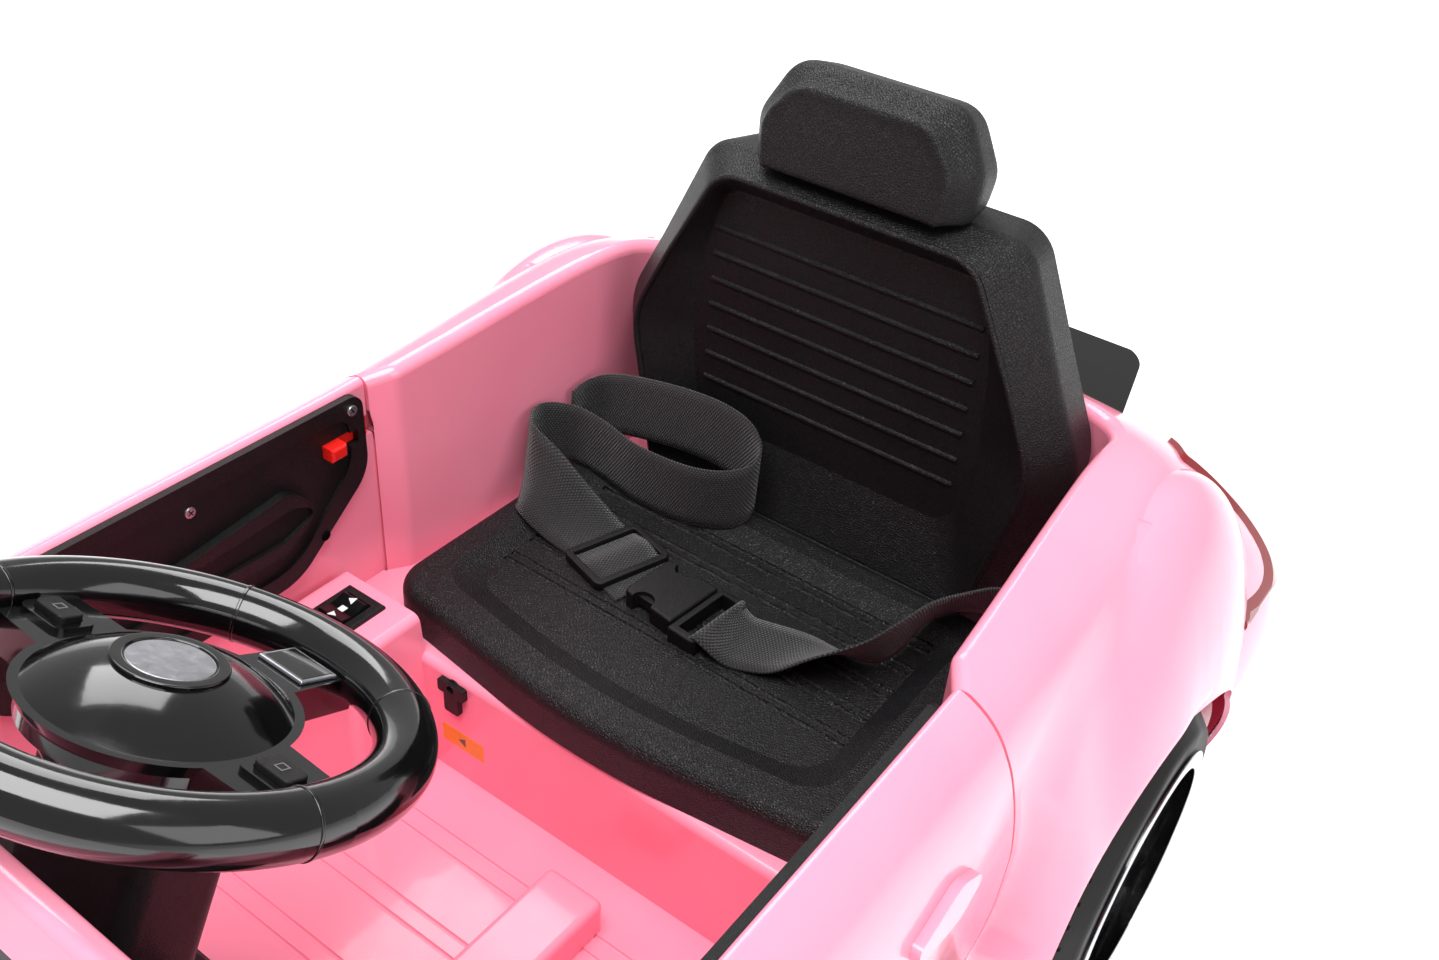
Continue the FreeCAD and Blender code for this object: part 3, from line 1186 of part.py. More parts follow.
def door_trim():
    """The left door's black inner panel, with its pocket, armrest ridge and latch slot."""
    x0 = COCKPIT_HALF - TRIM_THICK
    panel = side_prism(trim_outline(0), x0, COCKPIT_HALF)
    pocket = side_prism(trim_outline(POCKET_RIM), x0 - 1, x0 + POCKET_DEPTH)
    panel = panel.cut(pocket)
    ridge_z = (TRIM_TOP_Z + TRIM_LOW_Z) / 2 - RIDGE_DROP
    spear = [(TRIM_FRONT_Y + y, ridge_z + z, r) for y, z, r in RIDGE]
    ridge = side_prism(spear, x0 - RIDGE_PROUD, x0 + POCKET_DEPTH + 0.5)
    hollow_spear = [(y, ridge_z + (z - ridge_z) * 0.5, 5.0) for y, z, r in spear]
    ridge = ridge.cut(side_prism(hollow_spear, x0 - RIDGE_PROUD - 1, x0 - RIDGE_PROUD + RIDGE_HOLLOW))
    slot = box(x0 - 1, COCKPIT_HALF + 1, LATCH_Y - LATCH_KNOB / 2 - CLEAR,
               LATCH_Y + LATCH_KNOB / 2 + LATCH_TRAVEL + CLEAR,
               LATCH_Z - LATCH_NECK / 2 - CLEAR, LATCH_Z + LATCH_NECK / 2 + CLEAR)
    return panel.fuse(ridge).cut(slot)


def door_latch():
    """The left door's sliding latch, drawn back as when the door is free."""
    x0 = COCKPIT_HALF - TRIM_THICK
    bolt = box(COCKPIT_HALF + CLEAR, COCKPIT_HALF + LATCH_DEPTH, LATCH_Y - LATCH_BOLT + 4, DOOR_REAR_Y - 1,
               LATCH_Z - LATCH_HEIGHT / 2, LATCH_Z + LATCH_HEIGHT / 2)
    neck = box(x0 - LATCH_PROUD, COCKPIT_HALF + 1, LATCH_Y - LATCH_KNOB / 2, LATCH_Y + LATCH_KNOB / 2,
               LATCH_Z - LATCH_NECK / 2, LATCH_Z + LATCH_NECK / 2)
    neck = neck.makeFillet(2, edges_where(neck, lambda c: c.x < x0 - LATCH_PROUD + 0.1))
    return bolt.fuse(neck)


def door_handle(outer, skin):
    """The left door's leaf-shaped outer handle, lying on the door's skin."""
    leaf = [(HANDLE_Y + HANDLE_LENGTH * share, HANDLE_Z + z, r) for share, z, r in HANDLE_LEAF]
    return skin.common(side_prism(leaf, 0, LENGTH / 2)).cut(outer)


# Seat
def seat_outline(inset):
    """Plan of the seat with its bowed front edge, drawn in by inset."""
    half = SEAT_HALF - inset
    front = SEAT_FRONT_Y + inset
    back = BACK_FACE_Y - PIPING_R - CLEAR - inset
    corner = SEAT_BACK_CORNER + inset / 2
    return [(half, back, corner), (-half, back, corner), (-half, front, SEAT_CORNER),
            (0, front - SEAT_BOW, SEAT_BOW_R), (half, front, SEAT_CORNER)]


def seat_base():
    """The moulded seat, with a dished middle and pairs of grooves in its rear part."""
    pad = plan_prism(seat_outline(0), DECK_Z, SEAT_TOP_Z)
    pad = pad.makeFillet(SEAT_ROUND, edges_where(pad, lambda c: c.z > SEAT_TOP_Z - 0.1))
    floor = rounded_wire(seat_outline(SEAT_RIM + SEAT_SLOPE), lambda u, v: Vector(u, v, SEAT_FLAT_Z))
    mouth = rounded_wire(seat_outline(SEAT_RIM - SEAT_SLOPE), lambda u, v: Vector(u, v, SEAT_TOP_Z + CLEAR))
    pad = pad.cut(Part.makeLoft([floor, mouth], True, True))
    half = SEAT_HALF - SEAT_RIM - SEAT_SLOPE
    grooves = []
    for i in range(SEAT_GROOVES):
        y = BACK_FACE_Y - GROOVE_BACK - GROOVE_PITCH * i
        for step in (0.0, GROOVE_GAP):
            grooves.append(rod((-half, y - step, SEAT_FLAT_Z + GROOVE_R / 4), X_AXIS, GROOVE_R, 2 * half))
    return pad.cut(grooves)


def back_outline(inset):
    """Front view of the backrest, drawn in by inset."""
    return symmetric([
        (BACK_FOOT_HALF - inset, DECK_Z + inset, 12.0),
        (BACK_WIDE_HALF - inset, BACK_WIDE_Z, 60.0),
        (BACK_UPPER_HALF - inset, BACK_UPPER_Z, 60.0),
        (BACK_TOP_HALF - inset, BACK_TOP_Z - inset / 2, 26.0),
    ])


def panel_outline():
    """Front view of the backrest's sunk panel."""
    return symmetric([
        (PANEL_HALF, PANEL_LOW_Z, 20.0),
        (PANEL_HALF + PANEL_BOW, BACK_WIDE_Z, 60.0),
        (PANEL_HALF + PANEL_BOW / 2, BACK_UPPER_Z, 60.0),
        (PANEL_HALF - PANEL_BOW, PANEL_HIGH_Z, 20.0),
    ])


def front_loft(stages):
    """A form through several front views, each an outline and its place along the car."""
    wires = []
    for outline, y in stages:
        wires.append(rounded_wire(outline, lambda u, v: Vector(u, y, v)))
    return Part.makeLoft(wires, True, True)


def piping(outline, y):
    """A round bead along a front view."""
    path = rounded_wire(outline, lambda u, v: Vector(u, y, v))
    first = path.Edges[0]
    start = first.valueAt(first.FirstParameter)
    ring = Part.makeCircle(PIPING_R, start, first.tangentAt(first.FirstParameter))
    return path.makePipeShell([Part.Wire(ring)], True, False)


def edges_at(shape, y, above):
    """The edges that lie in one plane across the car, above a level."""
    return edges_where(shape, lambda c: abs(c.y - y) < CLEAR and c.z > above + 1)


def backrest():
    """The moulded backrest, with flared sides, a piped front edge and a sunk panel of ribs."""
    flare_y = BACK_FACE_Y + BACK_FLARE_DEPTH
    block = front_loft([(back_outline(BACK_FLARE), BACK_FACE_Y), (back_outline(0), flare_y),
                        (back_outline(BACK_TAPER), BACK_FACE_Y + BACK_THICK)])
    block = block.makeFillet(BACK_ROUND, edges_at(block, flare_y, DECK_Z))
    floor_y = BACK_FACE_Y + BACK_DISH
    block = block.cut(front_loft([(back_outline(BACK_FLARE + BACK_RIDGE), BACK_FACE_Y - CLEAR),
                                  (panel_outline(), floor_y)]))
    ribs = []
    for i in range(BACK_RIBS):
        z = RIB_LOW_Z + BACK_RIB_PITCH * i
        ribs.append(rod((-PANEL_HALF + RIB_END, floor_y + BACK_RIB_R * 0.4, z), X_AXIS, BACK_RIB_R,
                        2 * (PANEL_HALF - RIB_END)))
    block = block.fuse(ribs + [piping(back_outline(BACK_FLARE + BACK_RIDGE / 2), BACK_FACE_Y)])
    block.rotate(Vector(0, BACK_FACE_Y, DECK_Z), X_AXIS, -BACK_LEAN)
    return block.common(box(-LENGTH, LENGTH, 0, LENGTH, DECK_Z, LENGTH))


def head_outline(inset):
    """Front view of the headrest, drawn in by inset."""
    low = BACK_TOP_Z - HEAD_FLARE
    return symmetric([
        (HEAD_HALF - 6 - inset, low, 8.0),
        (HEAD_HALF - inset, BACK_TOP_Z + HEAD_HEIGHT * 0.45, 20.0),
        (HEAD_HALF - 20 - inset, BACK_TOP_Z + HEAD_HEIGHT - inset, 22.0),
    ])


def headrest():
    """The rounded headrest on top of the backrest, with a piped front edge."""
    y = BACK_FACE_Y + HEAD_SET
    block = front_loft([(head_outline(HEAD_FLARE), y), (head_outline(0), y + HEAD_FLARE_DEPTH),
                        (head_outline(HEAD_FLARE / 3), y + HEAD_THICK)])
    block = block.makeFillet(HEAD_ROUND, edges_at(block, y + HEAD_FLARE_DEPTH, BACK_TOP_Z))
    block = block.makeFillet(HEAD_ROUND, edges_at(block, y + HEAD_THICK, BACK_TOP_Z))
    block = block.fuse(piping(head_outline(HEAD_FLARE), y))
    block.rotate(Vector(0, y, BACK_TOP_Z), X_AXIS, -HEAD_LEAN)
    block = block.common(box(-LENGTH, LENGTH, 0, LENGTH, BACK_TOP_Z, LENGTH))
    block.rotate(Vector(0, BACK_FACE_Y, DECK_Z), X_AXIS, -BACK_LEAN)
    return block


# Belt
def ribbon(stations):
    """Webbing through stations, each a centre and the way its upper edge lies from there."""
    centres = [Vector(*station[:3]) for station in stations]
    rises = [Vector(*station[3:]) for station in stations]
    travel = [0.0]
    for i in range(1, len(centres)):
        travel.append(travel[-1] + (centres[i] - centres[i - 1]).Length)
    middle = Part.BSplineCurve()
    middle.interpolate(Points=centres, Parameters=travel)
    wires = []
    for i in range(len(centres) - 1):
        last = BELT_STEPS if i + 2 < len(centres) else BELT_STEPS + 1
        for step in range(last):
            share = step / BELT_STEPS
            mark = travel[i] + (travel[i + 1] - travel[i]) * share
            at = middle.value(mark)
            along = Vector(*middle.tangent(mark)[0])
            wide = (rises[i] * (1 - share) + rises[i + 1] * share).normalize() * (BELT_WIDTH / 2)
            thick = along.cross(wide).normalize() * (BELT_THICK / 2)
            corners = [at - wide - thick, at - wide + thick, at + wide + thick, at + wide - thick]
            wires.append(Part.makePolygon(corners + corners[:1]))
    return Part.makeLoft(wires, True, True)


def belt_place(shape, along=0.0, turn=0.0):
    """Move a piece drawn along X onto the seat, hung on the buckle at a distance along it and turned there."""
    placed = shape.copy()
    placed.rotate(Vector(0, 0, 0), Z_AXIS, turn)
    placed.translate(Vector(along, 0, 0))
    placed.rotate(Vector(0, 0, 0), Z_AXIS, BELT_ANGLE)
    placed.translate(Vector(BUCKLE_X, BUCKLE_Y, SEAT_FLAT_Z))
    return placed


def flat_strap(x0, x1):
    """Webbing lying flat along X."""
    return box(x0, x1, -BELT_WIDTH / 2, BELT_WIDTH / 2, 0, BELT_THICK)


def seat_belt():
    """The lap belt: a loose loop by the backrest, a flat run each side of the buckle and the near end."""
    half = BUCKLE_LENGTH / 2
    far_flat = belt_place(flat_strap(-FAR_FLAT, BELT_WIDTH / 4), -half, FAR_ANGLE)
    near_flat = belt_place(flat_strap(-BELT_WIDTH / 4, NEAR_FLAT), half, NEAR_ANGLE)
    trim = belt_place(box(-half, half, -BUCKLE_WIDTH, BUCKLE_WIDTH, -1, BUCKLE_THICK))
    far = ribbon(FAR_STATIONS).fuse(far_flat).cut(trim)
    near = ribbon(NEAR_STATIONS).fuse(near_flat).cut(trim)
    return Part.makeCompound([far, near])


def belt_buckle():
    """The side-release buckle: a socket with open sides, and the barred end of its plug."""
    half = BUCKLE_LENGTH / 2
    wide = BUCKLE_WIDTH / 2
    joint = half - PLUG_LENGTH
    socket = plan_prism([(-half, -SOCKET_HALF, 4.0), (joint - CLEAR, -SOCKET_HALF - 2, 2.0),
                         (joint - CLEAR, SOCKET_HALF + 2, 2.0), (-half, SOCKET_HALF, 4.0)], 0, BUCKLE_THICK)
    socket = socket.makeFillet(BUCKLE_ROUND, edges_where(socket, lambda c: c.z > BUCKLE_THICK - 0.1))
    notches = [rod((NOTCH_X, side * SOCKET_HALF, -1), Z_AXIS, NOTCH_R, BUCKLE_THICK + 2) for side in (-1,
                                                                                                      1)]
    prongs = []
    for side in (-1, 1):
        y = side * (SOCKET_HALF - PRONG_INSET)
        prongs.append(box(NOTCH_X - NOTCH_R - 2, joint, y - PRONG_WIDTH / 2, y + PRONG_WIDTH / 2, 3,
                          BUCKLE_THICK - 3))
    high = BUCKLE_THICK - PLUG_DROP
    plug = plan_prism([(joint - CLEAR, -wide, 2.0), (half, -wide, 5.0), (half, wide, 5.0),
                       (joint - CLEAR, wide, 2.0)], 0, high)
    plug = plug.makeFillet(BUCKLE_ROUND, edges_where(plug, lambda c: c.z > high - 0.1))
    slot = box(joint + PLUG_BAR, half - PLUG_BAR, -wide + PLUG_BAR, wide - PLUG_BAR, -1, BUCKLE_THICK)
    return belt_place(socket.cut(notches).fuse(prongs + [plug.cut(slot)]))


def belt_slider():
    """The slide that sets the belt's length: a frame with a middle bar."""
    x1 = -SLIDER_GAP
    x0 = x1 - SLIDER_LENGTH
    wide = SLIDER_WIDTH / 2
    z0 = BELT_THICK
    frame = plan_prism([(x0, -wide, 5.0), (x1, -wide, 5.0), (x1, wide, 5.0), (x0, wide, 5.0)], z0,
                       z0 + SLIDER_THICK)
    opening = plan_prism([(x0 + SLIDER_BAR, -wide + SLIDER_BAR, 1.5),
                          (x1 - SLIDER_BAR, -wide + SLIDER_BAR, 1.5),
                          (x1 - SLIDER_BAR, wide - SLIDER_BAR, 1.5),
                          (x0 + SLIDER_BAR, wide - SLIDER_BAR, 1.5)],
                         0, z0 + SLIDER_THICK + 1)
    frame = frame.cut(opening)
    frame = frame.makeFillet(1.2, edges_where(frame, lambda c: c.z > z0 + SLIDER_THICK - 0.1))
    middle = (x0 + x1) / 2
    bar = box(middle - SLIDER_BAR, middle + SLIDER_BAR, -wide + 2, wide - 2, z0, z0 + SLIDER_THICK / 2)
    return belt_place(frame.fuse(bar), -BUCKLE_LENGTH / 2, FAR_ANGLE)


# Screen, lamps and trim
def screen_place(shape):
    """Lean a piece drawn upright, with its foot at the origin, into the windscreen's plane."""
    lean = math.degrees(math.atan2(SCREEN_TOP_Y - SCREEN_BASE_Y, SCREEN_TOP_Z - crown(SCREEN_BASE_Y)))
    placed = shape.copy()
    placed.rotate(Vector(0, 0, 0), X_AXIS, -lean)
    placed.translate(Vector(0, SCREEN_BASE_Y, crown(SCREEN_BASE_Y)))
    return placed


def screen_outline(inset):
    """Front view of the windscreen in its own plane, drawn in by inset, with its foot below the cowl."""
    tall = math.hypot(SCREEN_TOP_Y - SCREEN_BASE_Y, SCREEN_TOP_Z - crown(SCREEN_BASE_Y))
    return symmetric([(SCREEN_BASE_HALF + 8 - inset, -30.0, 0.0),
                      (SCREEN_TOP_HALF - inset, tall - inset, 30.0 - inset / 2)])


def windscreen_frame(outer):
    """The body-coloured hoop round the windscreen."""
    hoop = front_prism(screen_outline(0), -SCREEN_THICK / 2, SCREEN_THICK / 2)
    hoop = hoop.makeFillet(SCREEN_THICK * 0.35, edges_where(hoop, lambda c: c.z > -29))
    hoop = hoop.cut(front_prism(screen_outline(SCREEN_BAR), -SCREEN_THICK, SCREEN_THICK))
    return screen_place(hoop).cut(outer)


def windscreen_pane(outer):
    """The dark pane in the hoop."""
    pane = front_prism(screen_outline(SCREEN_BAR), -PANE_THICK / 2, PANE_THICK / 2)
    return screen_place(pane).cut(outer)


def lamp_outline(grow):
    """Front view of the left headlamp, let out by grow."""
    return [(x + out * grow, z + up * grow, r) for (x, z, r), (out, up) in zip(HEADLAMP, HEADLAMP_OUT)]


def headlamp_lenses(outer, skin):
    """The clear lenses of the headlamps."""
    lens = skin.common(front_prism(lamp_outline(0), -LENGTH, FRONT_AXLE_Y - LAMP_SETBACK))
    return both_sides(lens.cut(outer))


def headlamp_bezels(outer, skin):
    """The dark frames round the headlamps."""
    ring = front_prism(lamp_outline(BEZEL_EDGE), -LENGTH, FRONT_AXLE_Y - LAMP_SETBACK)
    ring = ring.cut(front_prism(lamp_outline(0), -LENGTH, FRONT_AXLE_Y))
    return both_sides(skin.common(ring).cut(outer))


def tail_lamps(outer, skin):
    """The slim lamps on the rear corners."""
    return both_sides(skin.common(front_prism(TAIL_LAMP, REAR_AXLE_Y + WHEEL_R, LENGTH)).cut(outer))


def front_grille(outer, skin):
    """The slatted panel low on the nose."""
    mouth = symmetric([(GRILLE_HALF - GRILLE_TAPER, GRILLE_LOW_Z, 10.0), (GRILLE_HALF, GRILLE_HIGH_Z, 14.0)])
    back = NOSE_Y + GRILLE_REACH
    panel = skin.common(front_prism(mouth, -LENGTH, back)).cut(outer)
    half = GRILLE_HALF - GRILLE_MARGIN
    pitch = (GRILLE_HIGH_Z - GRILLE_LOW_Z) / (GRILLE_SLATS + 0.5)
    gaps = []
    for i in range(GRILLE_SLATS):
        z = GRILLE_LOW_Z + pitch * (i + 0.5)
        gaps.append(box(-half, half, -LENGTH, back, z, z + pitch / 2))
    return panel.cut(gaps)


def rear_spoiler(outer):
    """The dark plate along the tail, standing off behind."""
    y1 = SPOILER_Y + SPOILER_DEPTH
    root = SPOILER_Z - SPOILER_ROOT
    wing = [(SPOILER_Y - SPOILER_SWEEP, root, 0.0),
            (SPOILER_Y - SPOILER_SWEEP, SPOILER_Z - SPOILER_RISE, 2.0),
            (y1, SPOILER_Z, 2.0), (y1, SPOILER_Z - SPOILER_THICK, 2.0),
            (SPOILER_Y + SPOILER_SWEEP, root, 0.0)]
    bar = side_prism(wing, -SPOILER_HALF, SPOILER_HALF)
    plan = symmetric([(SPOILER_HALF - SPOILER_SWEEP * 3, SPOILER_Y, 20.0),
                      (SPOILER_HALF, SPOILER_Y - SPOILER_SWEEP, 3.0),
                      (SPOILER_HALF - SPOILER_SWEEP, y1 + 1, 26.0)])
    return bar.common(plan_prism(plan, 0, LENGTH)).cut(outer)


def main():
    """Build every piece and write it out."""
    os.makedirs("parts", exist_ok=True)
    outer = body_solid(0)
    inner = body_solid(WALL)
    left_door = door(outer)
    left_trim = door_trim()
    left_latch = door_latch()
    left_handle = door_handle(outer, body_solid(-HANDLE_PROUD))
    left_knuckle = knuckle()
    lens_skin = body_solid(-LENS_THICK)
    left_tyre = tyre()
    left_wheel = wheel()
    pieces = {
        "floor_tub": floor_tub(outer, inner),
        "front_body": front_body(outer, inner),
        "rear_body": rear_body(outer, inner),
        "chassis_frame": chassis_frame(),
        "kingpins": kingpins(),
        "rear_axle": rear_axle(),
        "gearboxes": gearboxes(),
        "drive_motors": drive_motors(),
        "battery": battery(),
        "control_box": control_box(),
        "charge_socket": charge_socket(),
        "switch_housing": switch_housing(),
        "direction_rocker": direction_rocker(),
        "knuckle_left": left_knuckle,
        "knuckle_right": mirrored(left_knuckle),
        "tie_rod": tie_rod(),
        "column_shaft": column_shaft(),
        "steering_wheel": steering_wheel(),
        "horn_pad": horn_pad(),
        "pad_badge": pad_badge(),
        "horn_button": spoke_button(1),
        "music_button": spoke_button(-1),
        "column_shroud": column_shroud(),
        "dashboard": dashboard(),
        "foot_pedal": foot_pedal(),
        "pedal_base": pedal_base(),
        "door_left": left_door,
        "door_right": mirrored(left_door),
        "door_trim_left": left_trim,
        "door_trim_right": mirrored(left_trim),
        "door_latch_left": left_latch,
        "door_latch_right": mirrored(left_latch),
        "door_handle_left": left_handle,
        "door_handle_right": mirrored(left_handle),
        "door_hinge_pins": hinge_pins(),
        "seat_base": seat_base(),
        "backrest": backrest(),
        "headrest": headrest(),
        "seat_belt": seat_belt(),
        "belt_buckle": belt_buckle(),
        "belt_slider": belt_slider(),
        "windscreen_frame": windscreen_frame(outer),
        "windscreen_pane": windscreen_pane(outer),
        "headlamp_lenses": headlamp_lenses(outer, lens_skin),
        "headlamp_bezels": headlamp_bezels(outer, body_solid(-BEZEL_THICK)),
        "tail_lamps": tail_lamps(outer, lens_skin),
        "front_grille": front_grille(outer, body_solid(-GRILLE_THICK)),
        "rear_spoiler": rear_spoiler(outer),
    }
    for corner, side, axle_y in (("front_left", 1, FRONT_AXLE_Y), ("front_right", -1, FRONT_AXLE_Y),
                                 ("rear_left", 1, REAR_AXLE_Y), ("rear_right", -1, REAR_AXLE_Y)):
        pieces["tyre_" + corner] = at_corner(left_tyre, side, axle_y)
        pieces["wheel_" + corner] = at_corner(left_wheel, side, axle_y)
    for name, shape in pieces.items():
        print(name, len(shape.Solids), shape.isValid(), round(shape.Volume / 1000, 1))
        shape.exportStep("parts/" + name + ".step")


if __name__ == "__main__":
    main()
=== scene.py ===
"""Looks of an electric ride-on car for one child: finishes, webbing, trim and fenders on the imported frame."""
import logging
import math
from dataclasses import dataclass, field
from enum import Enum
from typing import Any, Sequence

import bmesh
import bpy
from mathutils import Matrix, Vector


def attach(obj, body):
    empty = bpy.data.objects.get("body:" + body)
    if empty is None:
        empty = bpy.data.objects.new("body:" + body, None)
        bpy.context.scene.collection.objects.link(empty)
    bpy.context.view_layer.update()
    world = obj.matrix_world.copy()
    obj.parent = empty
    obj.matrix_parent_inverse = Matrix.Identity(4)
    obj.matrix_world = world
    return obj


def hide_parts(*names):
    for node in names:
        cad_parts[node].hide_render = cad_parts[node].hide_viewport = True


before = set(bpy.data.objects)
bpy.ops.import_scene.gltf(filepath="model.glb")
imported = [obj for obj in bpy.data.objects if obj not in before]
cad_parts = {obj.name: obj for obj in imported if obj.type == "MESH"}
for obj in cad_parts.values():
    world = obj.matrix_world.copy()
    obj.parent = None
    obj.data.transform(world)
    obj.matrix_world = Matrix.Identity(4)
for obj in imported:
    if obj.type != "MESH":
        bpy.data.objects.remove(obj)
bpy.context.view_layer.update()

LOG = logging.getLogger("ride_on_car")
Colour = tuple[float, float, float]
Point = tuple[float, float, float]
Pair = tuple[float, float]
Grid = list[list[float]]
MM = 0.001
SIDES: tuple[tuple[float, str], ...] = ((1.0, "left"), (-1.0, "right"))
REAR_AXLE_Y = 0.277
AXLE_Z = 0.115
# Where most, and where nearly all, of a noise texture's values lie
NOISE_MOST: Pair = (0.3, 0.7)
NOISE_ALL: Pair = (0.2, 0.8)


def srgb(red: int, green: int, blue: int) -> Colour:
    """Turn a screen colour into a linear one.

    Args:
        red, green, blue: Channels from 0 to 255.

    Returns:
        The linear colour.
    """
    def linear(value: float) -> float:
        """One channel."""
        value /= 255.0
        return value / 12.92 if value <= 0.04045 else ((value + 0.055) / 1.055) ** 2.4
    return (linear(red), linear(green), linear(blue))


class Value:
    """A shader socket that holds a number and can be used in Python expressions."""

    def __init__(self, tree: bpy.types.NodeTree, socket: bpy.types.NodeSocket) -> None:
        """Keep the tree and the socket."""
        self.tree = tree
        self.socket = socket

    def _math(self, operation: str, first: Any, second: Any) -> "Value":
        """Add a Math node.

        Args:
            operation: The Math node's operation.
            first, second: Values or plain numbers.

        Returns:
            The node's result.
        """
        node = self.tree.nodes.new("ShaderNodeMath")
        node.operation = operation
        for socket, item in zip(node.inputs, (first, second)):
            if isinstance(item, Value):
                self.tree.links.new(item.socket, socket)
            else:
                socket.default_value = float(item)
        return Value(self.tree, node.outputs[0])

    def __add__(self, other: Any) -> "Value":
        """Sum."""
        return self._math("ADD", self, other)

    def __radd__(self, other: Any) -> "Value":
        """Sum with a number on the left."""
        return self._math("ADD", other, self)

    def __mul__(self, other: Any) -> "Value":
        """Product."""
        return self._math("MULTIPLY", self, other)

    def __rmul__(self, other: Any) -> "Value":
        """Product with a number on the left."""
        return self._math("MULTIPLY", other, self)

    def __pow__(self, other: Any) -> "Value":
        """Power."""
        return self._math("POWER", self, other)

    def __rpow__(self, other: Any) -> "Value":
        """Power of a number."""
        return self._math("POWER", other, self)

    def sine(self) -> "Value":
        """Sine of the value."""
        return self._math("SINE", self, 0.0)

    def size(self) -> "Value":
        """The value without its sign."""
        return self._math("ABSOLUTE", self, 0.0)

    def above(self, limit: Any) -> "Value":
        """1 where the value is over a limit."""
        return self._math("GREATER_THAN", self, limit)


class Paint:
    """A material under construction, with one shader and short ways to add nodes."""

    noise_roughness: float = 0.55

    def __init__(self, name: str, **settings: Any) -> None:
        """Start a material.

        Args:
            name: The material's name.
            settings: Base_Color and other constant sockets of the shader, with underscores for spaces.
        """
        self.material = bpy.data.materials.new(name)
        self.material.use_nodes = True
        self.tree = self.material.node_tree
        self.shader = self.tree.nodes["Principled BSDF"]
        for key, value in settings.items():
            socket = self.shader.inputs[key.replace("_", " ")]
            socket.default_value = (*value, 1.0) if isinstance(value, tuple) and len(value) == 3 else value
        self.material.diffuse_color = (*settings["Base_Color"], 1.0)

    def node(self, kind: str, settings: dict[str, Any], inputs: dict[str, Any], output: Any = 0) -> Value:
        """Add any node.

        Args:
            kind: The node's type.
            settings: Its properties, set first. A list under "stops" sets the two stops of a colour ramp.
            inputs: Values or links of its sockets, by name or number.
            output: The output to return, by name or number.

        Returns:
            The chosen output.
        """
        node = self.tree.nodes.new(kind)
        for key, value in settings.items():
            if key == "stops":
                for element, (place, colour) in zip(node.color_ramp.elements, value):
                    element.position = place
                    element.color = (*colour, 1.0)
            else:
                setattr(node, key, value)
        for key, value in inputs.items():
            socket = node.inputs[key]
            if isinstance(value, Value):
                self.tree.links.new(value.socket, socket)
            else:
                socket.default_value = value
        return Value(self.tree, node.outputs[output])

    def place(self) -> Value:
        """Object coordinates."""
        return self.node("ShaderNodeTexCoord", {}, {}, "Object")

    def along_strip(self) -> tuple[Value, Value]:
        """The piece's own UV map, split in two.

        Returns:
            U and V as values.
        """
        uv = self.node("ShaderNodeTexCoord", {}, {}, "UV")
        split = self.node("ShaderNodeSeparateXYZ", {}, {"Vector": uv}, "X")
        return split, Value(self.tree, split.socket.node.outputs["Y"])

    def noise(self, scale: float, detail: float) -> Value:
        """Noise over the object.

        Args:
            scale: Patches per metre.
            detail: Octaves.

        Returns:
            A value from 0 to 1.
        """
        inputs = {"Vector": self.place(), "Scale": scale, "Detail": detail, "Roughness": self.noise_roughness}
        return self.node("ShaderNodeTexNoise", {}, inputs, 0)

    def pebbles(self, scale: float) -> Value:
        """Distance to the edges of irregular cells over the object, with a number of cells per metre."""
        inputs = {"Vector": self.place(), "Scale": scale}
        return self.node("ShaderNodeTexVoronoi", {"feature": "DISTANCE_TO_EDGE"}, inputs, "Distance")

    def ramp(self, value: Value, taken: Pair, low: Colour, high: Colour) -> Value:
        """Blend two colours by a value.

        Args:
            value: What drives the blend.
            taken: The values that give each colour.
            low, high: The colours.

        Returns:
            The colour.
        """
        stops = list(zip(taken, (low, high)))
        return self.node("ShaderNodeValToRGB", {"stops": stops}, {"Fac": value}, "Color")

    def span(self, value: Value, taken: Pair, given: Pair) -> Value:
        """Map a value from one range to another, held at the ends.

        Args:
            value: The value.
            taken: Its range.
            given: The new range.

        Returns:
            The mapped value.
        """
        inputs = {"Value": value, "From Min": taken[0], "From Max": taken[1],
                  "To Min": given[0], "To Max": given[1]}
        return self.node("ShaderNodeMapRange", {"clamp": True}, inputs, 0)

    def link(self, socket: str, value: Value) -> None:
        """Feed a socket of the shader."""
        self.tree.links.new(value.socket, self.shader.inputs[socket])

    def relief(self, height: Value, depth: float) -> None:
        """Raise the surface by a height map, on which 1 stands for a depth in metres."""
        self.link("Normal", self.node("ShaderNodeBump", {}, {"Height": height, "Distance": depth}, "Normal"))


@dataclass(frozen=True)
class GlossPlastic:
    """Smooth coloured moulding plastic with a faint orange-peel and handling haze.

    Clouds, hazes and dimples are counted per metre, and peel is the depth of the dimples.
    """

    name: str
    colour: Colour
    deep: Colour
    roughness: float = 0.2
    coat: float = 0.35
    peel: float = 0.00006
    clouds: float = 9.0
    hazes: float = 60.0
    dimples: float = 240.0

    def build(self) -> bpy.types.Material:
        """Make the material."""
        paint = Paint(self.name, Base_Color=self.colour, Coat_Weight=self.coat, Coat_Roughness=0.06, IOR=1.48)
        cloud = paint.noise(self.clouds, 2.0)
        paint.link("Base Color", paint.ramp(cloud, (0.3, 0.65), self.deep, self.colour))
        dull = (self.roughness - 0.04, self.roughness + 0.06)
        paint.link("Roughness", paint.span(paint.noise(self.hazes, 4.0), NOISE_MOST, dull))
        paint.relief(paint.noise(self.dimples, 2.0), self.peel)
        return paint.material


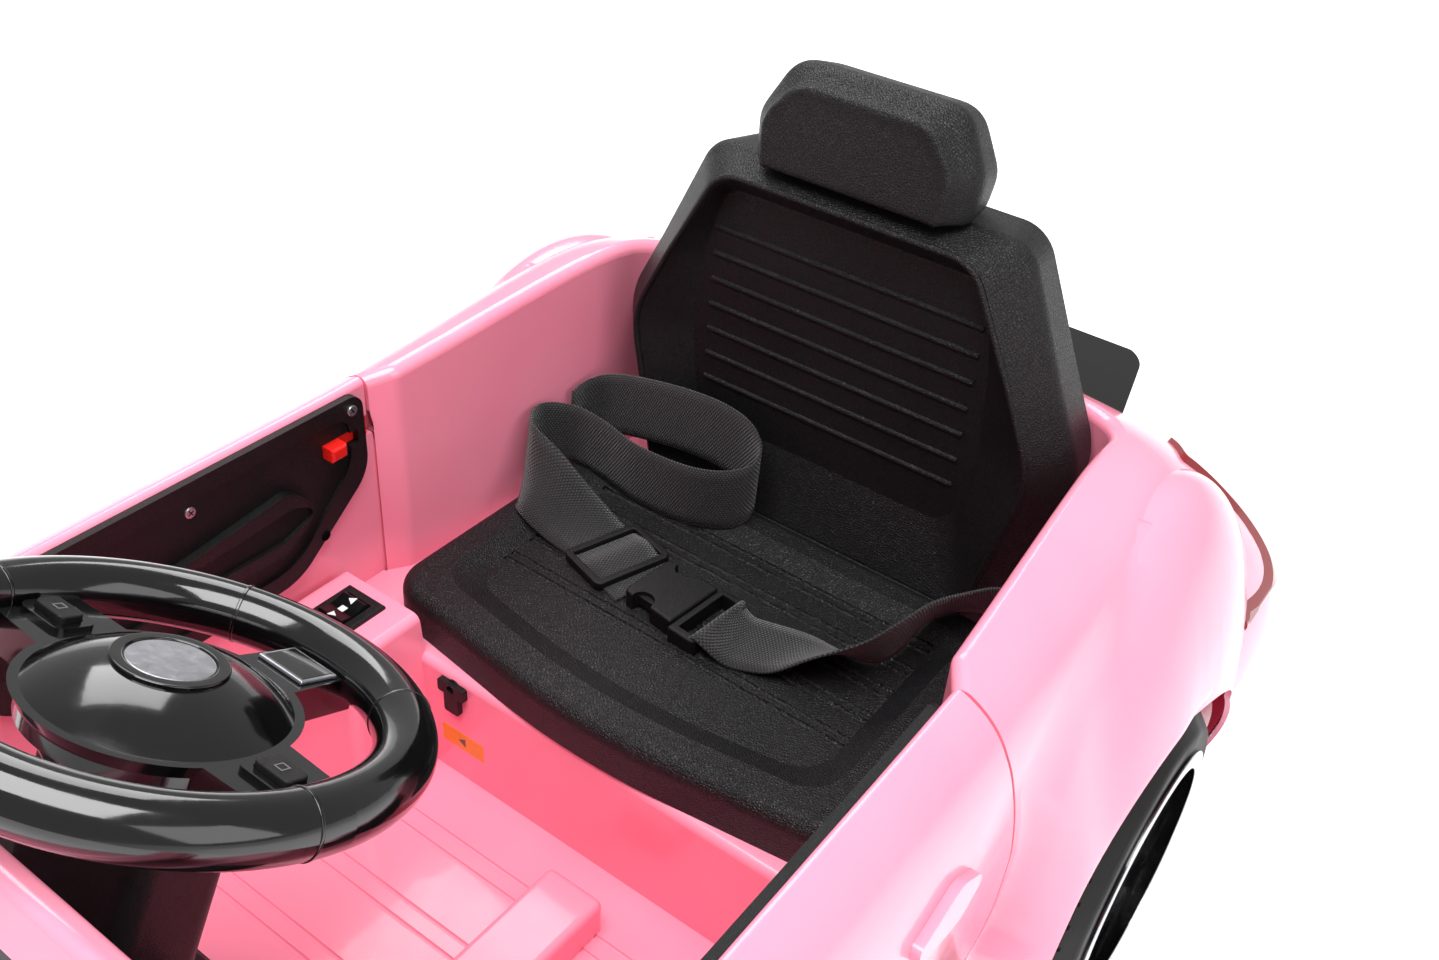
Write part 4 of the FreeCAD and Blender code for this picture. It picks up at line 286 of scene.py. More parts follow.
@dataclass(frozen=True)
class GrainPlastic:
    """Dark moulding plastic with a pebbled leather grain.

    Cells and patches are counted per metre. Furrow is the share of a cell that slopes to its edge, and
    fineness is how much finer the second grain is.
    """

    name: str
    colour: Colour
    worn: Colour
    cells: float
    depth: float
    roughness: float
    furrow: float = 0.28
    fineness: float = 2.6
    patches: float = 14.0

    def build(self) -> bpy.types.Material:
        """Make the material."""
        paint = Paint(self.name, Base_Color=self.colour, IOR=1.5, Specular_IOR_Level=0.3)
        edge = paint.span(paint.pebbles(self.cells), (0.0, self.furrow), (0.0, 1.0))
        fine = paint.noise(self.cells * self.fineness, 3.0)
        height = edge * 0.8 + fine * 0.35
        broad = paint.noise(self.patches, 3.0)
        paint.link("Base Color", paint.ramp(broad, (0.35, 0.75), self.colour, self.worn))
        dull = (self.roughness + 0.14, self.roughness - 0.05)
        paint.link("Roughness", paint.span(height, (0.1, 1.0), dull))
        paint.relief(height, self.depth)
        return paint.material


@dataclass(frozen=True)
class Rubbery:
    """Moulded tyre plastic, matt and slightly dusty.

    Patches of dust and grit are counted per metre.
    """

    name: str
    colour: Colour
    dusty: Colour
    roughness: Pair = (0.5, 0.68)
    patches: float = 35.0
    grit: float = 900.0
    grit_depth: float = 0.00012

    def build(self) -> bpy.types.Material:
        """Make the material."""
        paint = Paint(self.name, Base_Color=self.colour, IOR=1.45, Specular_IOR_Level=0.3)
        dust = paint.noise(self.patches, 5.0)
        paint.link("Base Color", paint.ramp(dust, (0.4, 0.8), self.colour, self.dusty))
        paint.link("Roughness", paint.span(dust, NOISE_MOST, self.roughness))
        paint.relief(paint.noise(self.grit, 3.0), self.grit_depth)
        return paint.material


@dataclass(frozen=True)
class Metal:
    """Plated or drawn metal with fine handling marks.

    Clouds and scuffs are counted per metre, and shade is how dark a cloud gets.
    """

    name: str
    colour: Colour
    roughness: float
    metal: float = 1.0
    shade: float = 0.82
    clouds: float = 40.0
    scuffs: float = 220.0
    scuff_depth: float = 0.00002

    def build(self) -> bpy.types.Material:
        """Make the material."""
        paint = Paint(self.name, Base_Color=self.colour, Metallic=self.metal)
        marks = paint.noise(self.scuffs, 4.0)
        dark = tuple(self.shade * channel for channel in self.colour)
        paint.link("Base Color", paint.ramp(paint.noise(self.clouds, 2.0), (0.3, 0.6), dark, self.colour))
        dull = (self.roughness - 0.03, self.roughness + 0.08)
        paint.link("Roughness", paint.span(marks, NOISE_MOST, dull))
        paint.relief(marks, self.scuff_depth)
        return paint.material


@dataclass(frozen=True)
class TintedClear:
    """Clear or tinted plastic for panes and lenses.

    Hazes and ripples are counted per metre, and through is the share of light that passes.
    """

    name: str
    colour: Colour
    roughness: float
    through: float
    hazes: float = 120.0
    ripples: float = 300.0
    ripple_depth: float = 0.00003

    def build(self) -> bpy.types.Material:
        """Make the material."""
        paint = Paint(self.name, Base_Color=self.colour, Transmission_Weight=self.through, IOR=1.49,
                      Coat_Weight=0.5, Coat_Roughness=0.03)
        dull = (self.roughness, self.roughness + 0.05)
        paint.link("Roughness", paint.span(paint.noise(self.hazes, 3.0), NOISE_MOST, dull))
        paint.relief(paint.noise(self.ripples, 2.0), self.ripple_depth)
        return paint.material


@dataclass(frozen=True)
class Webbing:
    """Ribbed woven nylon, with U along the strap and V across it, both in metres.

    Pick and cord are the weave's steps along and across the strap, and crown is how flat its cords are.
    """

    name: str
    colour: Colour
    # The second colour is a painted highlight on the raised crowns of the weave.
    highlight_colour: Colour
    pick: float = 0.0022
    cord: float = 0.0018
    crown: float = 0.6
    fuzz: float = 500.0
    depth: float = 0.0007
    roughness: Pair = (0.72, 0.42)

    def build(self) -> bpy.types.Material:
        """Make the material."""
        paint = Paint(self.name, Base_Color=self.colour, Sheen_Weight=0.25, Sheen_Roughness=0.4)
        u, v = paint.along_strip()
        across = (v * (math.pi / self.cord)).sine()
        shift = across.above(0.0) * math.pi
        along = (u * (2 * math.pi / self.pick) + shift).sine()
        weave = (along * 0.5 + 0.5) * (across.size() ** self.crown)
        height = weave * paint.span(paint.noise(self.fuzz, 2.0), NOISE_ALL, (0.8, 1.1))
        # Painted highlight: the weave's raised crowns are coloured lighter than its hollows.
        paint.link("Base Color", paint.ramp(height, (0.2, 0.95), self.colour, self.highlight_colour))
        paint.link("Roughness", paint.span(height, (0.0, 1.0), self.roughness))
        paint.relief(height, self.depth)
        return paint.material


@dataclass(frozen=True)
class Print:
    """Flat ink or paper with a little unevenness.

    Blots are counted per metre, and fade is how dark a blot gets.
    """

    name: str
    colour: Colour
    roughness: float = 0.45
    fade: float = 0.9
    blots: float = 400.0

    def build(self) -> bpy.types.Material:
        """Make the material."""
        paint = Paint(self.name, Base_Color=self.colour)
        blot = paint.noise(self.blots, 3.0)
        faded = tuple(self.fade * channel for channel in self.colour)
        paint.link("Base Color", paint.ramp(blot, (0.3, 0.6), faded, self.colour))
        paint.link("Roughness", paint.span(blot, NOISE_ALL, (self.roughness - 0.05, self.roughness + 0.08)))
        return paint.material


class Finish(Enum):
    """Every finish on the car."""

    PINK = GlossPlastic("pink_gloss", srgb(255, 152, 176), srgb(254, 145, 171))
    # Painted shade: the body's pink darkened and saturated, used for the tail's inner wall seen through each
    # rear arch.
    DEEP_PINK = GlossPlastic("pink_painted_shade", srgb(226, 44, 98), srgb(214, 36, 88), 0.35, 0.0)
    GLOSS_BLACK = GlossPlastic("black_gloss", srgb(9, 9, 10), srgb(6, 6, 7), 0.12, 0.6, 0.00003)
    SEAT = GrainPlastic("seat_grain", srgb(14, 13, 15), srgb(19, 18, 20), 620.0, 0.00035, 0.4)
    TRIM = GrainPlastic("trim_grain", srgb(11, 10, 12), srgb(15, 14, 16), 1500.0, 0.00012, 0.36)
    TRAY = GrainPlastic("tray_plastic", srgb(30, 30, 32), srgb(40, 40, 42), 700.0, 0.0002, 0.5)
    TYRE = Rubbery("tyre_plastic", srgb(20, 19, 21), srgb(32, 31, 32))
    STEEL = Metal("drawn_steel", srgb(178, 178, 182), 0.3)
    SILVER = Metal("silver_plate", srgb(186, 186, 192), 0.2, 0.85)
    PANE = TintedClear("screen_smoke", srgb(46, 44, 52), 0.04, 0.65)
    LENS = TintedClear("lamp_clear", srgb(236, 238, 242), 0.03, 0.9)
    RED_LENS = TintedClear("lamp_red", srgb(128, 10, 18), 0.1, 0.0)
    RED = GlossPlastic("latch_red", srgb(236, 38, 30), srgb(222, 30, 26), 0.24, 0.3)
    CASE = GrainPlastic("case_grey", srgb(96, 97, 102), srgb(112, 112, 116), 700.0, 0.00012, 0.5)
    # Its second colour is the painted highlight on the weave's crowns.
    STRAP = Webbing("nylon_webbing", srgb(10, 10, 11), srgb(38, 38, 41))
    WHITE_INK = Print("white_ink", srgb(228, 228, 228))
    GREY_INK = Print("grey_ink", srgb(92, 92, 96))
    ORANGE_LABEL = Print("orange_label", srgb(240, 150, 40), 0.35)

    def material(self) -> bpy.types.Material:
        """The finish's material, made on its first use."""
        found = bpy.data.materials.get(self.value.name)
        return found or self.value.build()


@dataclass
class Dressing:
    """Finishes of the CAD nodes, by node name.

    The soft node is remade of small cells and then smoothed, because its real edges are upholstered.
    """

    finishes: dict[Finish, tuple[str, ...]] = field(default_factory=lambda: {
        Finish.PINK: (
            "floor_tub", "front_body", "rear_body", "door_left", "door_right", "door_handle_left",
            "door_handle_right", "windscreen_frame"),
        Finish.GLOSS_BLACK: (
            "steering_wheel", "horn_pad", "headlamp_bezels", "rear_spoiler", "wheel_front_left",
            "wheel_front_right", "wheel_rear_left", "wheel_rear_right", "direction_rocker"),
        Finish.SEAT: ("seat_base", "backrest", "headrest"),
        Finish.TRIM: (
            "door_trim_left", "door_trim_right", "charge_socket", "switch_housing", "column_shroud",
            "dashboard", "foot_pedal", "pedal_base", "horn_button", "music_button", "front_grille",
            "belt_buckle", "belt_slider"),
        Finish.TRAY: ("chassis_frame", "gearboxes", "control_box"),
        Finish.TYRE: ("tyre_front_left", "tyre_front_right", "tyre_rear_left", "tyre_rear_right"),
        Finish.STEEL: (
            "kingpins", "rear_axle", "drive_motors", "knuckle_left", "knuckle_right", "tie_rod",
            "column_shaft", "door_hinge_pins"),
        Finish.SILVER: ("pad_badge",),
        Finish.PANE: ("windscreen_pane",),
        Finish.LENS: ("headlamp_lenses",),
        Finish.RED_LENS: ("tail_lamps",),
        Finish.RED: ("door_latch_left", "door_latch_right"),
        Finish.CASE: ("battery",),
        Finish.STRAP: ("seat_belt",),
    })
    soft_node: str = "headrest"
    soft_cell: float = 0.0018
    soft_passes: int = 24
    soft_pull: float = 0.5

    def apply(self) -> None:
        """Give every CAD node its finish."""
        for finish, names in self.finishes.items():
            for name in names:
                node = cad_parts[name]
                node.data.materials.clear()
                node.data.materials.append(finish.material())
        self.soften()
        LOG.info("dressed %d nodes", sum(len(names) for names in self.finishes.values()))

    def soften(self) -> None:
        """Round the edges of the upholstered moulding, which is made of even faces first."""
        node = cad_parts[self.soft_node]
        remesh = node.modifiers.new("even_faces", "REMESH")
        remesh.mode = "VOXEL"
        remesh.voxel_size = self.soft_cell
        remesh.use_smooth_shade = True
        smooth = node.modifiers.new("rounding", "SMOOTH")
        smooth.factor = self.soft_pull
        smooth.iterations = self.soft_passes


def turned(degrees: float, axis: str = "Z") -> Matrix:
    """A turn round an axis."""
    return Matrix.Rotation(math.radians(degrees), 4, axis)


def moved(x: float = 0.0, y: float = 0.0, z: float = 0.0) -> Matrix:
    """A shift."""
    return Matrix.Translation((x, y, z))


def thicken(piece: bpy.types.Object, wall: float, way: float = 0.0) -> None:
    """Give a thin skin its wall.

    Args:
        piece: The skin.
        wall: The wall's thickness.
        way: 1 to grow the way its faces point, -1 to grow the other way, 0 to grow both ways.
    """
    shell = piece.modifiers.new("wall", "SOLIDIFY")
    shell.thickness = wall
    shell.offset = way


class Build:
    """A mesh under construction in the car's frame, in metres.

    Sharp is the angle in radians from which an edge is rounded, and ring_round is the rounding of a ring as a
    share of its thickness.
    """

    sharp: float = 0.6
    ring_round: float = 0.3

    def __init__(self) -> None:
        """Start with an empty mesh."""
        self.mesh = bmesh.new()

    def _settle(self, verts: Sequence[Any], round_by: float, finish: int) -> None:
        """Round and colour a form that was just added.

        Args:
            verts: The form's vertices.
            round_by: Size of its rounded edges, or 0.
            finish: Number of its finish.
        """
        faces = {face for vert in verts for face in vert.link_faces}
        for face in faces:
            face.material_index = finish
            face.smooth = True
        if round_by:
            edges = {edge for vert in verts for edge in vert.link_edges}
            inner = [edge for edge in edges if len(edge.link_faces) == 2]
            sharp = [edge for edge in inner if edge.calc_face_angle() > self.sharp]
            bmesh.ops.bevel(self.mesh, geom=sharp, offset=round_by, segments=2, profile=0.5, affect="EDGES",
                            material=-1)

    def block(self, place: Matrix, size: Point, round_by: float = 0.0, finish: int = 0) -> None:
        """Add a box.

        Args:
            place: Where its middle is.
            size: Its three lengths.
            round_by: Size of its rounded edges, or 0.
            finish: Number of its finish.
        """
        made = bmesh.ops.create_cube(self.mesh, size=1.0, matrix=place @ Matrix.Diagonal((*size, 1.0)))
        self._settle(made["verts"], round_by, finish)

    def drum(self, place: Matrix, radius: float, height: float, round_by: float = 0.0, finish: int = 0,
             sides: int = 48) -> None:
        """Add a cylinder or a flat prism with equal sides.

        Args:
            place: Where its middle is, with its axis along Z.
            radius, height: Its size.
            round_by: Size of its rounded edges, or 0.
            finish: Number of its finish.
            sides: How many sides it has.
        """
        made = bmesh.ops.create_cone(self.mesh, cap_ends=True, segments=sides, radius1=radius, radius2=radius,
                                     depth=height, matrix=place)
        self._settle(made["verts"], round_by, finish)

    def ring(self, place: Matrix, inner: float, outer: float, height: float, sides: int = 72) -> None:
        """Add a flat ring in the first finish.

        Args:
            place: The middle of its lower face, with its axis along Z.
            inner, outer: Its radii.
            height: Its thickness.
            sides: How many sides it has.
        """
        made = bmesh.ops.create_circle(self.mesh, cap_ends=True, radius=outer, segments=sides, matrix=place)
        disc = list({face for vert in made["verts"] for face in vert.link_faces})
        rim = bmesh.ops.inset_region(
            self.mesh, faces=disc, use_boundary=True, use_even_offset=True, thickness=outer - inner)["faces"]
        bmesh.ops.delete(self.mesh, geom=disc, context="FACES")
        grown = bmesh.ops.extrude_face_region(self.mesh, geom=rim)["geom"]
        verts = [item for item in grown if isinstance(item, bmesh.types.BMVert)]
        bmesh.ops.translate(self.mesh, verts=verts, vec=place.to_3x3() @ Vector((0.0, 0.0, height)))
        self._settle(verts, height * self.ring_round, 0)

    def sheet(self, columns: int, rows: int) -> None:
        """Add a flat grid that runs from 0 to 1 each way, to be laid out point by point.

        Args:
            columns, rows: How many faces it has along X and Y.
        """
        bmesh.ops.create_grid(self.mesh, x_segments=columns, y_segments=rows, size=0.5,
                              matrix=moved(0.5, 0.5))

    def done(self, name: str, body: str, *finishes: Finish) -> bpy.types.Object:
        """Turn the mesh into a piece that rides on a body.

        Args:
            name: The piece's name.
            body: The body it moves with.
            finishes: Its finishes in order.

        Returns:
            The piece.
        """
        bmesh.ops.recalc_face_normals(self.mesh, faces=self.mesh.faces)
        data = bpy.data.meshes.new(name)
        self.mesh.to_mesh(data)
        self.mesh.free()
        for finish in finishes:
            data.materials.append(finish.material())
        piece = bpy.data.objects.new(name, data)
        bpy.context.scene.collection.objects.link(piece)
        piece.modifiers.new("even_normals", "WEIGHTED_NORMAL").keep_sharp = True
        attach(piece, body)
        LOG.info("made %s with %d faces", name, len(data.polygons))
        return piece


def touch(node: str, start: Sequence[float], way: Sequence[float], across: Point = (1.0, 0.0, 0.0)) -> Matrix:
    """Find where a straight line meets a CAD node.

    Args:
        node: The node's name.
        start: Where the line starts.
        way: Its direction.
        across: A direction that the place's X axis follows.

    Returns:
        The place on the surface, with Z out of it.
    """
    hit, point, normal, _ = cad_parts[node].ray_cast(Vector(start), Vector(way))
    if not hit:
        raise ValueError(f"no surface of {node} from {start}")
    if normal.dot(Vector(way)) > 0.0:
        normal = -normal
    side = (Vector(across) - normal * normal.dot(Vector(across))).normalized()
    axes = Matrix((side, normal.cross(side), normal)).transposed().to_4x4()
    return Matrix.Translation(point) @ axes


@dataclass(frozen=True)
class Station:
    """One place along loose webbing: its middle in millimetres and the way its upper edge lies."""

    middle: Point
    rise: Point


def stations(*rows: tuple[float, ...]) -> tuple[Station, ...]:
    """Turn rows of six numbers into stations."""
    return tuple(Station(row[:3], row[3:]) for row in rows)


@dataclass
class Belt:
    """The lap belt's webbing: a loose loop on the far side and a twisted run on the near side."""

    width: float = 0.048
    thick: float = 0.0016
    steps: int = 8
    rows: int = 6
    far: tuple[Station, ...] = stations(
        (-176, 278, 249, 0.0, 0.1, 1.0), (-175, 293, 252, 0.0, 0.1, 1.0), (-166, 303, 256, 0.0, 0.1, 1.0),
        (-146, 306, 262, 0.0, 0.1, 1.0), (-105, 307, 270, 0.0, 0.1, 1.0), (-70, 307, 273, 0.0, 0.1, 1.0),
        (-45, 306, 269, 0.0, 0.1, 1.0), (-30, 301, 261, 0.0, 0.05, 1.0), (-26, 292, 254, 0.05, 0.0, 1.0),
        (-32, 282, 249, 0.0, 0.0, 1.0), (-47, 273, 246, 0.0, -0.03, 1.0), (-70, 267, 244.4, 0.0, -0.03, 1.0),
        (-105, 265, 244.6, 0.0, -0.03, 1.0), (-138, 267, 249, 0.0, 0.0, 1.0), (-162, 265, 251, 0.0, 0.0, 1.0),
        (-177, 252, 251, -0.1, 0.1, 1.0), (-176, 235, 250.5, -0.1, 0.22, 1.0),
        (-163, 220, 250, -0.05, 0.42, 0.9), (-142, 213, 243, 0.3, 0.8, 0.55),
        (-119, 213, 230, 0.33, 0.9, 0.25), (-96, 213.5, 220.6, 0.29, 0.96, 0.0),
        (-86, 211.8, 221.5, 0.29, 0.96, 0.0), (-74, 208.2, 224.4, 0.29, 0.96, 0.0),
        (-62, 204.6, 221.5, 0.29, 0.96, 0.0), (-53, 201.9, 220.2, 0.29, 0.96, 0.0),
        (-42, 198.5, 220.0, 0.25, 0.97, 0.0))
    near: tuple[Station, ...] = stations(
        (14.5, 193.4, 223, -0.09, -0.99, 0.0), (17.5, 193.1, 229.5, -0.09, -0.99, 0.0),
        (21, 192.8, 231.3, -0.06, -0.99, 0.0), (26, 193.4, 227, 0.1, -0.99, 0.0),
        (34, 195, 221.6, 0.18, -0.98, 0.0), (44, 197.5, 221.0, 0.2, -0.98, 0.0),
        (66, 203, 224.2, 0.1, -0.98, 0.1), (88, 208, 233, 0.1, -0.85, 0.5), (107, 216, 241, 0.3, -0.5, 0.8),
        (119, 230, 245, 0.25, -0.2, 0.95), (125, 252, 247, 0.3, 0.0, 0.95), (131, 277, 248, 0.5, -0.1, 0.85),
        (143, 298, 248, 0.5, -0.25, 0.83), (160, 312, 244, 0.4, -0.35, 0.85))

    def build(self) -> None:
        """Lay both runs of webbing."""
        far = self.strap("belt_webbing_far", self.far)
        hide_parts("seat_belt")
        self.strap("belt_webbing_near", self.near)

    @staticmethod
    def between(items: Sequence[Vector], mark: float) -> Vector:
        """A smooth curve through points.

        Args:
            items: The points.
            mark: Place along them, counted in points.

        Returns:
            The point on the curve.
        """
        last = len(items) - 1
        at = min(int(mark), last - 1)
        share = mark - at
        before, here, there, after = (items[min(max(at + k, 0), last)] for k in (-1, 0, 1, 2))
        lead = (there - before) * 0.5
        trail = (after - here) * 0.5
        square, cube = share * share, share ** 3
        return (here * (2 * cube - 3 * square + 1) + lead * (cube - 2 * square + share)
                + there * (3 * square - 2 * cube) + trail * (cube - square))

    def strap(self, name: str, run: Sequence[Station]) -> bpy.types.Object:
        """Lay one run of webbing with its length in U and its width in V.

        Args:
            name: The piece's name.
            run: The stations along it.

        Returns:
            The piece.
        """
        middles = [Vector(station.middle) * MM for station in run]
        rises = [Vector(station.rise).normalized() for station in run]
        count = (len(run) - 1) * self.steps
        travel = [0.0]
        for i in range(count):
            step = self.between(middles, (i + 1) / self.steps) - self.between(middles, i / self.steps)
            travel.append(travel[-1] + step.length)
        build = Build()
        build.sheet(count, self.rows)
        uv = build.mesh.loops.layers.uv.new("strip")
        for face in build.mesh.faces:
            face.smooth = True
            for loop in face.loops:
                along, across = loop.vert.co.xy
                loop[uv].uv = (travel[round(along * count)], across * self.width)
        for vert in build.mesh.verts:
            along, across = vert.co.xy
            mark = along * (len(run) - 1)
            rise = self.between(rises, mark).normalized()
            vert.co = self.between(middles, mark) + rise * ((across - 0.5) * self.width)
        strap = build.done(name, "car", Finish.STRAP)
        thicken(strap, self.thick)
        LOG.info("%s is %.3f m long", name, travel[-1])
        return strap


@dataclass
class SteeringTrim:
    """Bare framed plate, switch marks, pad ring and rim seams of the steering wheel.

    Places are measured from the wheel's middle, seams are angles in degrees round the rim, and a pair is
    an inner and an outer radius.
    """

    centre: Point = (0.0, -0.158, 0.422)
    tilt: float = -27.0
    rim: float = 0.094
    tube: float = 0.013
    seams: tuple[float, ...] = (58.0, 122.0, -8.0, 188.0)
    seam_width: float = 0.0016
    seam_proud: float = 0.0004
    plate: Point = (0.027, 0.02, 0.0018)
    plate_y: float = 0.068
    plate_frame: float = 0.003
    plate_round: float = 0.0006
    pad_ring: Pair = (0.0174, 0.0225)
    pad_ring_z: float = 0.0126
    pad_ring_high: float = 0.0024
    switch_x: float = 0.067
    above_switch: float = 0.05
    mark: Pair = (0.0026, 0.0032)
    mark_high: float = 0.0002

    def build(self) -> None:
        """Make the pieces."""
        wheel = moved(*self.centre) @ turned(self.tilt, "X")
        self.bare_plate(wheel)
        self.rings(wheel)
        self.switch_marks(wheel)

    def bare_plate(self, wheel: Matrix) -> None:
        """Make the plate on the lower spoke: a silver frame round a dark field.

        Args:
            wheel: The steering wheel's middle, with Z towards the driver.
        """
        plate = Build()
        wide, deep, high = self.plate
        at = wheel @ moved(0.0, self.plate_y, high / 2)
        plate.block(at, self.plate, self.plate_round)
        dark = (wide - self.plate_frame, deep - self.plate_frame, high * 0.6)
        plate.block(at @ moved(z=high / 3), dark, self.plate_round / 2, 1)
        plate.done("spoke_plate", "steering", Finish.SILVER, Finish.GLOSS_BLACK)

    def rings(self, wheel: Matrix) -> None:
        """Make the ring on the pad and the seams round the rim.

        Args:
            wheel: The steering wheel's middle, with Z towards the driver.
        """
        rings = Build()
        rings.ring(wheel @ moved(z=self.pad_ring_z), *self.pad_ring, self.pad_ring_high)
        for angle in self.seams:
            seam = wheel @ turned(angle) @ moved(self.rim) @ turned(90.0, "X")
            rings.drum(seam, self.tube + self.seam_proud, self.seam_width, self.seam_proud)
        rings.done("wheel_seams", "steering", Finish.GLOSS_BLACK)

    def switch_marks(self, wheel: Matrix) -> None:
        """Make the small square on each button.

        Args:
            wheel: The steering wheel's middle, with Z towards the driver.
        """
        for side, button in ((1.0, "horn_button"), (-1.0, "music_button")):
            start = wheel @ Vector((side * self.switch_x, 0.0, self.above_switch))
            face = touch(button, start, wheel.to_3x3() @ Vector((0.0, 0.0, -1.0)))
            mark = Build()
            mark.ring(face @ turned(45.0), *self.mark, self.mark_high, sides=4)
            mark.done(f"{button}_mark", button, Finish.GREY_INK)


@dataclass
class DoorTrim:
    """Screws and the small hole of each door's inner panel.

    Screws and hole are places in the side view, and head and hole_size are a radius and a height.
    """

    screws: tuple[Pair, ...] = ((-0.012, 0.322), (0.105, 0.333))
    head: Pair = (0.0036, 0.003)
    head_round: float = 0.0007
    # The slots and the hole are drawn as gloss black marks on the surface: painted shade in place of recesses.
    slot: Point = (0.00432, 0.0009, 0.0006)
    slot_z: float = 0.0013
    slot_turns: Pair = (30.0, 120.0)
    hole: Pair = (0.075, 0.254)
    hole_size: Pair = (0.0035, 0.0006)
    sides: int = 24

    def build(self) -> None:
        """Make the pieces of both doors."""
        for side, name in SIDES:
            build = Build()
            for screw in self.screws:
                head = self.panel(side, name, *screw)
                build.drum(head, *self.head, self.head_round, sides=self.sides)
                # Each slot is a gloss black strip laid on the screw head: painted shade for its groove.
                for turn in self.slot_turns:
                    build.block(head @ turned(turn) @ moved(z=self.slot_z), self.slot, finish=1)
            # The hole is a gloss black disc on the panel: painted shade for the opening.
            build.drum(self.panel(side, name, *self.hole), *self.hole_size, finish=1, sides=self.sides)
            build.done(f"door_screws_{name}", f"door_{name}", Finish.SILVER, Finish.GLOSS_BLACK)

    @staticmethod
    def panel(side: float, name: str, y: float, z: float) -> Matrix:
        """The place on a door's inner panel at a point of the side view."""
        return touch(f"door_trim_{name}", (0.0, y, z), (side, 0.0, 0.0), (0.0, 1.0, 0.0))


@dataclass
class Marks:
    """Plain signs on the rocker and the bare sticker under the charging socket.

    A sign is its place in steps of spread, its number of sides and its turn in degrees.
    """

    above_rocker: Point = (-0.166, 0.055, 0.4)
    spread: float = 0.008
    signs: tuple[tuple[float, int, float], ...] = ((1.0, 3, 90.0), (0.0, 4, 45.0), (-1.0, 3, -90.0))
    sign_radius: float = 0.0032
    ink: float = 0.0004
    sticker: Point = (-0.093, 0.0, 0.138)
    sticker_size: Point = (0.036, 0.015, 0.0004)
    sticker_round: float = 0.0002
    arrow_radius: float = 0.004

    def build(self) -> None:
        """Make the signs."""
        signs = Build()
        x, y, z = self.above_rocker
        for step, sides, turn in self.signs:
            face = touch("direction_rocker", (x, y + step * self.spread, z), (0.0, 0.0, -1.0))
            signs.drum(face @ turned(turn), self.sign_radius, self.ink, sides=sides)
        signs.done("rocker_signs", "rocker", Finish.WHITE_INK)
        label = Build()
        face = touch("floor_tub", self.sticker, (0.0, 1.0, 0.0))
        label.block(face, self.sticker_size, self.sticker_round)
        arrow = face @ moved(z=self.sticker_size[2] / 2) @ turned(90.0)
        label.drum(arrow, self.arrow_radius, self.ink, finish=1, sides=3)
        label.done("socket_sticker", "car", Finish.ORANGE_LABEL, Finish.GREY_INK)


@dataclass
class WheelTrim:
    """Bright edges of the spokes, the rim's ring and the hub cap of each road wheel.

    Stem and arm are half widths. The arms leave the stem at fork, and their inner and outer edges run from
    arm_starts to reach. A ring is its two radii, and a cap its radius and height.
    """

    face: float = 0.274
    axles: tuple[tuple[str, float], ...] = (("front", -0.318), ("rear", REAR_AXLE_Y))
    spokes: int = 5
    stem: float = 0.0065
    stem_middle: float = 0.029
    stem_length: float = 0.026
    arm: float = 0.0035
    arm_starts: Pair = (0.012, 0.006)
    fork: float = 0.039
    reach: float = 0.0458
    splay: float = 38.8
    line: float = 0.0013
    line_high: float = 0.0008
    line_z: float = 0.0002
    line_round: float = 0.0002
    ring: Pair = (0.0784, 0.0885)
    ring_z: float = 0.0172
    ring_high: float = 0.0012
    cap: Pair = (0.0092, 0.0014)
    cap_z: float = 0.0034
    cap_round: float = 0.0004

    def build(self) -> None:
        """Make the trim of all four wheels."""
        for side, name in SIDES:
            for end, axle_y in self.axles:
                place = Matrix(((0.0, 0.0, side, side * self.face), (1.0, 0.0, 0.0, axle_y),
                                (0.0, 1.0, 0.0, AXLE_Z), (0.0, 0.0, 0.0, 1.0)))
                self.wheel(place, f"{end}_{name}")

    def wheel(self, place: Matrix, name: str) -> None:
        """Make one wheel's trim.

        Args:
            place: The middle of the spokes' face, with Z outward.
            name: The wheel's end and side.
        """
        build = Build()
        for i in range(self.spokes):
            spoke = place @ turned(i * 360.0 / self.spokes)
            for sense in (-1.0, 1.0):
                edge = spoke @ moved(sense * (self.stem - self.line / 2), self.stem_middle, self.line_z)
                build.block(edge, (self.line, self.stem_length, self.line_high), self.line_round)
                arm = spoke @ moved(0.0, self.fork, self.line_z) @ turned(sense * self.splay)
                for rail in (-1.0, 1.0):
                    start = self.arm_starts[0 if rail * sense < 0.0 else 1]
                    edge = arm @ moved(rail * (self.arm - self.line / 2), (start + self.reach) / 2)
                    build.block(edge, (self.line, self.reach - start, self.line_high), self.line_round)
        build.ring(place @ moved(z=self.ring_z), *self.ring, self.ring_high)
        build.drum(place @ moved(z=self.cap_z), *self.cap, self.cap_round)
        build.done(f"wheel_trim_{name}", f"{name}_wheel", Finish.SILVER)


